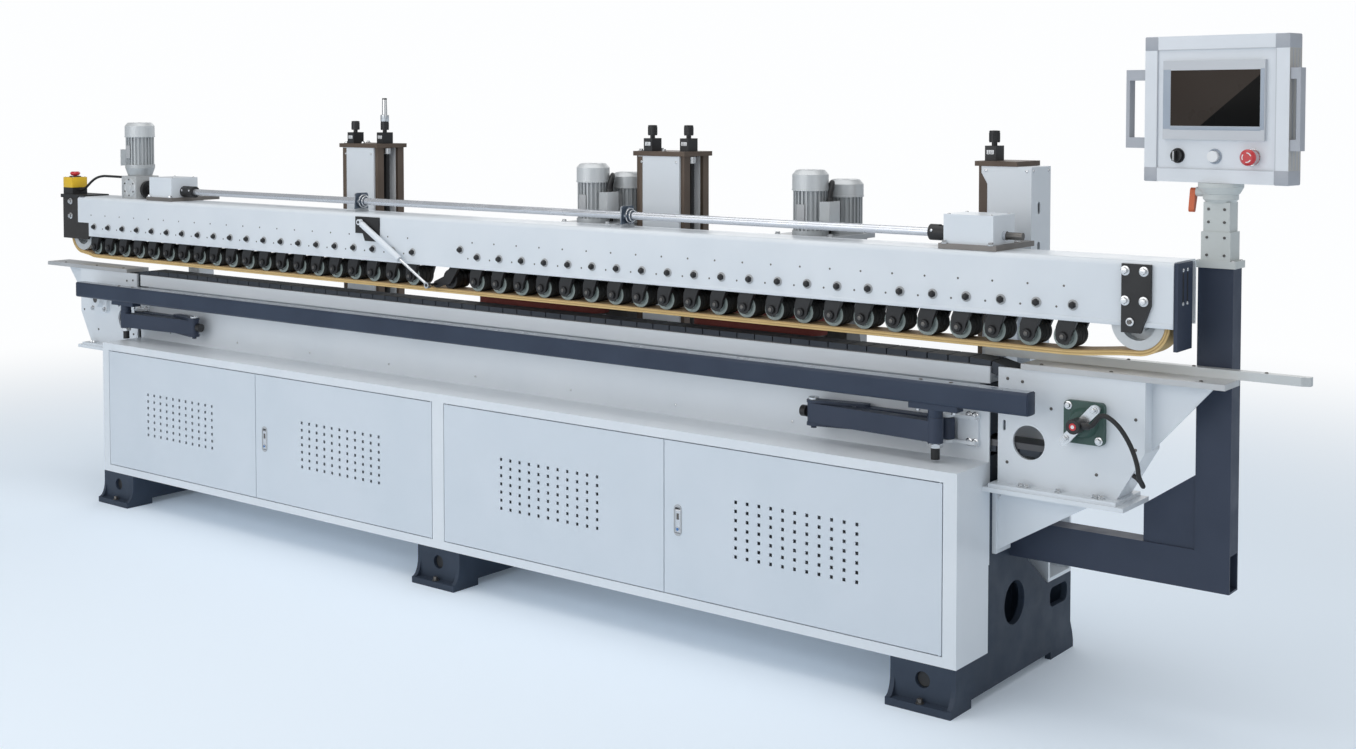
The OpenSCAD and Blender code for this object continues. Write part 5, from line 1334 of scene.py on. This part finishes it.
@dataclass
class MotorTrim:
    """Fan grille, band, terminal lid, bare plate and gland of one upright motor."""

    name: str
    x: float
    y: float
    z: float
    radius: float
    height: float
    side: int
    box_low: float
    body: str = "frame"

    def build(self) -> None:
        """Model the trim on the motor's solid; only a box on the right has a gland."""
        x, y, r = self.x, self.y, self.radius
        top = (x, y, self.z + self.height)
        rim = [(r - 12, 0), (r - 12, 1.2), (r - 15, 1.8), (r - 16, 0.6)]
        band = [(r - 2, 0), (r + 1.2, 1), (r + 1.2, 5), (r - 1, 6)]
        box_x, box_z = x + self.side * (r + 14), self.z + self.box_low
        fit(self.name, self.body, "motor_grey",
            Bench.turned(COWL, top, UP, rim, 28),
            Bench.turned(COWL, top, UP, [(12, 0), (12, 1.6), (9, 2.4), (4, 2.6)], 18),
            *[Bench.turned(DARK_STEEL, top, UP, [(q + 1.6, 0), (q + 1.6, 0.5), (q, 0.6), (q - 1, 0.1)], 26)
              for q in (18.0, 24.0, 30.0, 36.0)],
            Bench.turned(COWL, (x, y, self.z + 0.7 * self.height - 3), UP, band, 32),
            Bench.block(COWL, (box_x + self.side * 16.5, y - 31.0, box_z - 1),
                        (box_x + self.side * 18.6, y + 27.0, box_z + 65), 1.4),
            Bench.block(PLATE, (x - 15, y - r + 1.6, self.z + 40), (x + 13, y - r + 4.0, self.z + 92), 0.5))
        if self.side > 0:
            gland = [(11, 0), (11, 4), (9.6, 5), (9.6, 9), (8.6, 11)]
            fit(self.name + "_gland", self.body, "black_plastic",
                Bench.turned(PLASTIC, (box_x, y, box_z + 63.5), UP, gland, 10))


@dataclass
class PressureBelt:
    """The tan pressure belt and the abrasive belts, as closed bands."""

    left: float = -2290.0
    right: float = 2308.0
    axle: float = 1037.0
    radius: float = 70.0
    thick: float = 14.0
    front: float = 164.0
    back: float = 244.0
    rise: float = 14.0
    level: Pair = (-2196.0, 2114.0)
    drums: tuple[Pair, ...] = ((-80.0, HEADS[0][0]), (850.0, HEADS[1][0]))

    def build(self) -> None:
        """Skin the pressure belt in plies, and the two abrasive belts."""
        a, b, t = self.front, self.back, self.thick
        section = [(a + 1.2, t), (a, t - 1.2), (a, 9.4), (a + 0.9, 9.1), (a + 0.9, 6.4), (a, 6.1), (a, 3.2),
                   (a + 0.9, 2.9), (a + 0.9, 0.8), (a + 1.6, 0.0), (b - 1.6, 0.0), (b, 1.0), (b, t - 1.2),
                   (b - 1.2, t)]
        finishes = [TAN, TAN, PLY, PLY, PLY, TAN, PLY, PLY, PLY, INNER, INNER, TAN, TAN, TAN]
        lines = [[at(x, y, z) for x, z in self.loop(out)] for y, out in section]
        belt = fit("pressure_band", "beam", "belt_tan", self.band(lines, finishes))
        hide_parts("pressure_belt")
        belts = fit("abrasive_bands", "frame", "abrasive", *[self._abrasive(*ends) for ends in self.drums])
        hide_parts("abrasive_belts")

    @staticmethod
    def ease(t: float) -> float:
        """Blend smoothly from nought to one."""
        u = min(max(t, 0.0), 1.0)
        return u * u * (3.0 - 2.0 * u)

    def lift(self, x: float) -> float:
        """Give how far the lower run stands below the pulleys' foot.

        Args:
            x: A place along the beam.

        Returns:
            The distance there.
        """
        a, b = self.level
        rising = self.ease((x - self.left) / (a - self.left))
        return self.rise * min(rising, self.ease((self.right - x) / (self.right - b)))

    def loop(self, out: float) -> list[Pair]:
        """Give the loop's line at a height above the belt's inner face.

        Args:
            out: How far outwards of the inner face.

        Returns:
            Points in x and z, once round.
        """
        r = self.radius + out
        steps = [self.left + (self.right - self.left) * i / 120 for i in range(121)]
        arc = [math.pi * i / 28 for i in range(1, 28)]
        points = [(x, self.axle - r - self.lift(x)) for x in steps]
        points += [(self.right + r * math.sin(a), self.axle - r * math.cos(a)) for a in arc]
        points += [(x, self.axle + r) for x in reversed(steps)]
        return points + [(self.left - r * math.sin(a), self.axle + r * math.cos(a)) for a in arc]

    @staticmethod
    def band(lines: Sequence[Sequence[Vector]], finishes: Sequence[Finish]) -> Piece:
        """Skin closed lines into a band.

        Args:
            lines: Lines round the section, each once round the loop.
            finishes: The finish of the strip after each line.

        Returns:
            The band.
        """
        count = len(lines[0])
        faces, marks = [], []
        kinds = list(dict.fromkeys(finishes))
        for k, finish in enumerate(finishes):
            n = (k + 1) % len(lines)
            for i in range(count):
                j = (i + 1) % count
                faces.append((k * count + i, k * count + j, n * count + j, n * count + i))
                marks.append(kinds.index(finish))
        mesh = bpy.data.meshes.new("band")
        mesh.from_pydata([p for line in lines for p in line], [], faces)
        for kind in kinds:
            mesh.materials.append(kind.material())
        mesh.polygons.foreach_set("material_index", marks)
        piece = bpy.data.objects.new("band", mesh)
        bpy.context.scene.collection.objects.link(piece)
        Bench.select(piece)
        Bench.edit()
        Bench.face_outwards()
        bpy.ops.object.mode_set(mode="OBJECT")
        bpy.ops.object.shade_smooth_by_angle(angle=SHARP_FOLD)
        return piece

    def _abrasive(self, left: float, right: float) -> Piece:
        """Skin one abrasive belt round its drums.

        Args:
            left: The left drum's place.
            right: The right drum's place.

        Returns:
            The belt.
        """
        arc = [math.pi * i / 24 for i in range(25)]
        lines = []
        for r, z in ((50.0, 895.0), (50.0, 985.0), (52.0, 985.0), (52.0, 895.0)):
            line = [(right + r * math.sin(a), FRONT_MOTOR_Y - r * math.cos(a)) for a in arc]
            line += [(left - r * math.sin(a), FRONT_MOTOR_Y + r * math.cos(a)) for a in arc]
            lines.append([at(x, y, z) for x, y in line])
        return self.band(lines, [PLY, ABRASIVE, ABRASIVE, ABRASIVE])


@dataclass
class Units:
    """Trim of the sanding units: motors, threads, counters, knobs and covers."""

    motor_radius: float = 54.0
    thread_low: float = 752.0
    thread_lead: float = 5.0
    end_counter: Spot = (1758.0, 470.0, 1418.0)

    def build(self) -> None:
        """Fit the trim of both units and of the end column."""
        r = self.motor_radius
        for i, (x0, x1) in enumerate(HEADS):
            MotorTrim(f"front_fan_{i + 1}", x0, FRONT_MOTOR_Y, MOTOR_Z, r, FRONT_MOTOR_H, 1, 37.0).build()
            MotorTrim(f"rear_fan_{i + 1}", x1, REAR_MOTOR_Y, MOTOR_Z, r, REAR_MOTOR_H, -1, 37.0).build()
        self._threads()
        self._counters()
        self._covers()

    def _threads(self) -> None:
        """Cut threads round the height screws, clamp a collar on each and line the columns; the liners'
        brighter white is partly painted light that lifts the shaded recess.
        """
        low, lead = self.thread_low, self.thread_lead
        for i, (x, top) in enumerate(COLUMNS):
            foot = (x + 171.0, SCREW_Y)
            rings = [(10.6, 0), (12.4, 1.7), (12.4, 2.5), (10.6, 4.2)]
            ridge = Bench.turned(BLACK, (*foot, low), UP, rings, 16)
            fit(f"height_thread_{i + 1}", "frame", "black_paint",
                Bench.row(ridge, int((top - 16 - low) / lead), (0.0, 0.0, lead)))
            collar = [(17, 0), (18, 1), (18, 21), (17, 22), (13, 22)]
            fit(f"thread_collar_{i + 1}", "frame", "steel",
                Bench.turned(BRIGHT, (*foot, top - 39.0), UP, collar, 24))
        # White faces between the column plates, in a brighter white than the paint: painted light against the
        # recess's shade
        fit("column_liners", "frame", "white_paint", *[
            Bench.block(IVORY, (x + 150.0, 518.4, 750.0), (x + 183.0, 520.2, top - 16.0), 0.6)
            for x, top in COLUMNS])

    def _counters(self) -> None:
        """Put windows on the counters, ribbed sleeves on their knobs, and the clamping rod."""
        windows, sleeves = [], []
        teeth = [(r * math.cos(math.pi * k / 16), r * math.sin(math.pi * k / 16))
                 for k, r in enumerate((14.7, 15.9) * 16)]
        feet = [spot for x, top in COLUMNS for spot in ((x + 163.0, SCREW_Y, top), (x + 48.0, 442.0, top))]
        for x, y, z in [*feet, self.end_counter]:
            windows.append(Bench.block(IVORY, (x - 11, y - 26.2, z + 18), (x + 11, y - 24.8, z + 30), 0.4))
            windows += [Bench.block(PLASTIC, (q - 0.5, y - 26.6, z + 18.6), (q + 0.5, y - 25, z + 29.4), 0.1)
                        for q in spread((x,), (-5.5, 0.0, 5.5))]
            sleeves += [Bench.plate(PLASTIC, teeth, (x, y, z + 54), UP, 24.0, 0.5),
                        Bench.turned(PLASTIC, (x, y, z + 83), UP, [(14.6, 0), (13.6, 1.2), (6.0, 1.8)], 22)]
        fit("counter_windows", "frame", "white_plastic", *windows)
        fit("knob_sleeves", "frame", "black_plastic", *sleeves)
        rod = [(15, 0), (16, 2), (16, 24), (10, 26), (9.4, 80), (8, 88)]
        fit("clamping_rod", "frame", "steel", Bench.turned(BRIGHT, (-783.0, SCREW_Y, 1511.0), UP, rod, 24))

    @staticmethod
    def _covers() -> None:
        """Edge the white covers in brown, and fit the screws and bolts of covers and plates."""
        y = COVER_FRONT
        outline = [(1748.4, 722), (1766, 722), (1766, 1355), (1748.4, 1385)]
        fit("column_edges", "frame", "brown_plate", *[
            Bench.block(BROWN, (x + 12.2, y - 1.4, 782.0), (x + 30.0, y + 0.4, top - 17.0), 0.5)
            for x, top in COLUMNS], Bench.plate(BROWN, outline, (0.0, y + 0.2, 0.0), FRONT, 1.6, 0.3))
        spots = grid(spread([x for x, _ in COLUMNS], (26.0, 168.0)), (y,), (800.0, 1040.0, 1390.0))
        spots += grid((1762.0, 1886.0), (y,), (760.0, 1392.0))
        screws("cover_screws", FRONT, 4.4, spots)
        screws("end_cover_screws", RIGHT, 4.4, grid((HALF,), (424.0, 520.0), (1060.0, 1392.0)))
        spots = [spot for x, top in COLUMNS for spot in grid((x + 10.0, x + 104.0), (430.0, 538.0), (top,))]
        bolts("top_plate_bolts", UP, 6.5, 6.0, spots)
        spots = grid(spread([x for x, _ in HEADS], (-84.0, 100.0)), (304.0, 512.0), (MOTOR_Z,))
        bolts("motor_plate_bolts", UP, 7.0, 7.0, spots)


@dataclass
class SupportArms:
    """Bolts, caps and nuts of the folding support bar and its links."""

    wrist_y: float = 87.0
    bar_y: Pair = (64.5, 109.5)
    bar_z: Pair = (787.0, 848.0)
    bar_ends: Pair = (-2187.0, 2060.0)
    bracket_z: Pair = (752.0, 681.0)

    def build(self) -> None:
        """Fit the brackets' bolts, the elbows' caps, and the bar's caps, bolts and nuts."""
        spots = grid(spread((ARM_RIGHT + 53,), (4.0, 22.0)), (BED_FRONT - 8.0,), self.bracket_z)
        spots += grid(spread((ARM_LEFT,), (-22.0, 22.0)), (BED_FRONT - 8.0,), self.bracket_z)
        bolts("shoulder_bolts", FRONT, 7.5, 8.0, spots)
        cap = [(15, 0), (15, 6.4), (13, 8.6), (7, 9.4)]
        for side, x in (("right", ELBOW_RIGHT), ("left", ELBOW_LEFT)):
            fit(f"elbow_cap_{side}", f"{side}_inner", "steel",
                Bench.turned(BRIGHT, (x, 118.5, 751.0), UP, cap, 22))
        (y0, y1), (z0, z1) = self.bar_y, self.bar_z
        fit("bar_end_caps", "bar", "slate_paint", *[
            Bench.block(SLATE, (x - s * 1.0, y0 + 2, z0 + 2), (x + s * 3.0, y1 - 2, z1 - 2), 1.6)
            for x, s in zip(self.bar_ends, SIDES)])
        arms, middle = (ARM_RIGHT, ARM_LEFT), ((y0 + y1) / 2,)
        spots = grid(spread(arms, (-45.0, 45.0)), middle, (z1,))
        screws("bar_top_bolts", UP, 5.5, spots, "bar", DARK_STEEL)
        bolts("bar_mount_bolts", DOWN, 6.5, 7.0, grid(spread(arms, (-54.0, 54.0)), middle, (z0 - 14,)), "bar")
        nut = Bench.turned(BRIGHT, ORIGIN, UP, [(19.5, 0), (20.6, 1.5), (20.6, 9.5), (19.5, 11)], 6, LOOSE)
        fit("wrist_nuts", "bar", "steel", Bench.copies(nut, grid(arms, (self.wrist_y,), (672.4,))))


@dataclass
class ControlConsole:
    """Mouldings, glass, rings and screws of the swivel console."""

    corner: Pair = (37.0, 36.0)
    button_x: tuple[float, ...] = (-100.0, 0.0, 99.0)
    button_z: float = 1447.0
    screen_x: Pair = (-138.0, 133.0)
    screen_z: Pair = (1488.0, 1685.0)

    def build(self) -> None:
        """Fit the pieces group by group."""
        self._corners()
        self._sides()
        self._screen()
        self._buttons()
        self._neck()

    def _corners(self) -> None:
        """Fit the grey corner mouldings and the strips between them."""
        w, h = self.corner
        half, low, top, y = CONSOLE_HALF, CONSOLE_LOW, CONSOLE_TOP, CONSOLE_FRONT
        fit("console_corners", "console", "grey_paint", *[
            Bench.block(CORNER, (s * (half - w), y - 1.0, z0), (s * (half + 0.8), CONSOLE_BACK + 0.6, z1),
                        3.0, CONSOLE)
            for s in SIDES for z0, z1 in ((low - 0.8, low + h), (top - h, top - 0.05))])
        level = [((w - half, z - 1.0), (half - w, z + 1.0)) for z in (low + 34, top - 34)]
        upright = [((x - 1.0, low + h), (x + 1.0, top - h)) for x in (34 - half, half - 34)]
        fit("console_strips", "console", "grey_paint", *[
            Bench.block(BEZEL, (x0, y - 0.5, z0), (x1, y + 1.0, z1), 0.4, CONSOLE)
            for (x0, z0), (x1, z1) in level + upright])

    @staticmethod
    def _sides() -> None:
        """Run the grooves of the side profiles and screw the back sheet on."""
        half, low, top, back = CONSOLE_HALF, CONSOLE_LOW, CONSOLE_TOP, CONSOLE_BACK
        fit("console_grooves", "console", "grey_paint", *[
            Bench.block(CORNER, (s * (half - 0.5), y - 1.6, low + 37),
                        (s * (half + 0.6), y + 1.6, top - 37), 0.3, CONSOLE)
            for s in SIDES for y in (-14.0, 4.0, 20.0)])
        fit("console_back", "console", "console_paint",
            Bench.block(CASE, (40 - half, back - 0.5, low + 40),
                        (half - 40, back + 2.0, top - 40), 1.2, CONSOLE))
        spots = grid((-140.0, 0.0, 140.0), (back + 2.0,), (low + 52, top - 52))
        screws("console_back_screws", BACK, 4.4, spots, "console", place=CONSOLE)

    def _screen(self) -> None:
        """Set the glass in the bezel, with strips beside and below it."""
        (x0, x1), (z0, z1) = self.screen_x, self.screen_z
        face = CONSOLE_FRONT - 6.0
        strips = (((x0 + 1.0, z0 + 26), (x0 + 21.0, z1 - 22)), ((x1 - 11.0, z0 + 26), (x1 - 1.0, z1 - 22)),
                  ((x0 + 20, z0 + 24), (x1 - 10, z0 + 33)))
        fit("bezel_strips", "console", "screen", *[
            Bench.block(BEZEL_SIDE, (a, face - 0.6, b), (c, face + 0.6, d), 0.5, CONSOLE)
            for (a, b), (c, d) in strips])
        # The glass carries the painted reflection in its lighter tone
        fit("screen_glass", "console", "screen",
            Bench.block(GLASS_WITH_REFLECTION, (x0 + 21.5, face - 0.4, z0 + 34.0), (x1 - 11.5, face + 2.4, z1 - 24.0), 0.6,
                        CONSOLE))

    def _buttons(self) -> None:
        """Ring the buttons, mark the selector and draw the stop button's arcs."""
        front, z = CONSOLE_FRONT, self.button_z
        kinds = ((PLASTIC, 17.0), (BEZEL_SIDE, 17.0), (BRIGHT, 20.0))
        fit("button_rings", "console", "steel", *[
            Bench.hoop(finish, (x, front + 3.4, z), FRONT, radius, 2.2, CONSOLE)
            for x, (finish, radius) in zip(self.button_x, kinds)])
        selector, _, stop = self.button_x
        fit("selector_mark", "selector", "white_plastic",
            Bench.block(IVORY, (selector - 1.3, front - 20.6, z - 12),
                        (selector + 1.3, front - 19.4, z + 12), 0.4, CONSOLE))
        arcs = []
        for k in range(3):
            sweep = [math.radians(20 + 120 * k) + math.radians(70) * i / 8 for i in range(9)]
            outline = [(12.6 * math.cos(a), 12.6 * math.sin(a)) for a in sweep]
            outline += [(10.2 * math.cos(a), 10.2 * math.sin(a)) for a in reversed(sweep)]
            arcs.append(Bench.plate(IVORY, outline, (stop, front - 26.6, z), FRONT, 0.9, place=CONSOLE))
        fit("stop_arcs", "console_stop", "white_plastic", *arcs)

    @staticmethod
    def _neck() -> None:
        """Screw the neck's covers on and its foot to the post."""
        x, y = POST_X, POST_Y
        spots = grid((x - 22.0, x + 22.0), (y - 33.0,), (1202.0, 1246.0))
        spots += grid((x - 20.0, x + 20.0), (y - 29.0,), (1284.0, 1316.0))
        screws("neck_screws", FRONT, 3.6, spots, finish=DARK_STEEL)
        screws("neck_foot_screws", UP, 4.2, grid((x - 43.0, x + 43.0), (y - 29.0, y + 29.0), (1188.0,)))


def main() -> None:
    """Build the studio, the cords and every sub-assembly."""
    logging.basicConfig(level=logging.INFO, format="%(name)s: %(message)s")
    parts = (Studio(), Cords(), Paint(), Cabinet(), Bed(), Beam(), Units(), SupportArms(), ControlConsole())
    for part in parts:
        log.info("building %s", type(part).__name__)
        part.build()


if __name__ == "__main__":
    main()
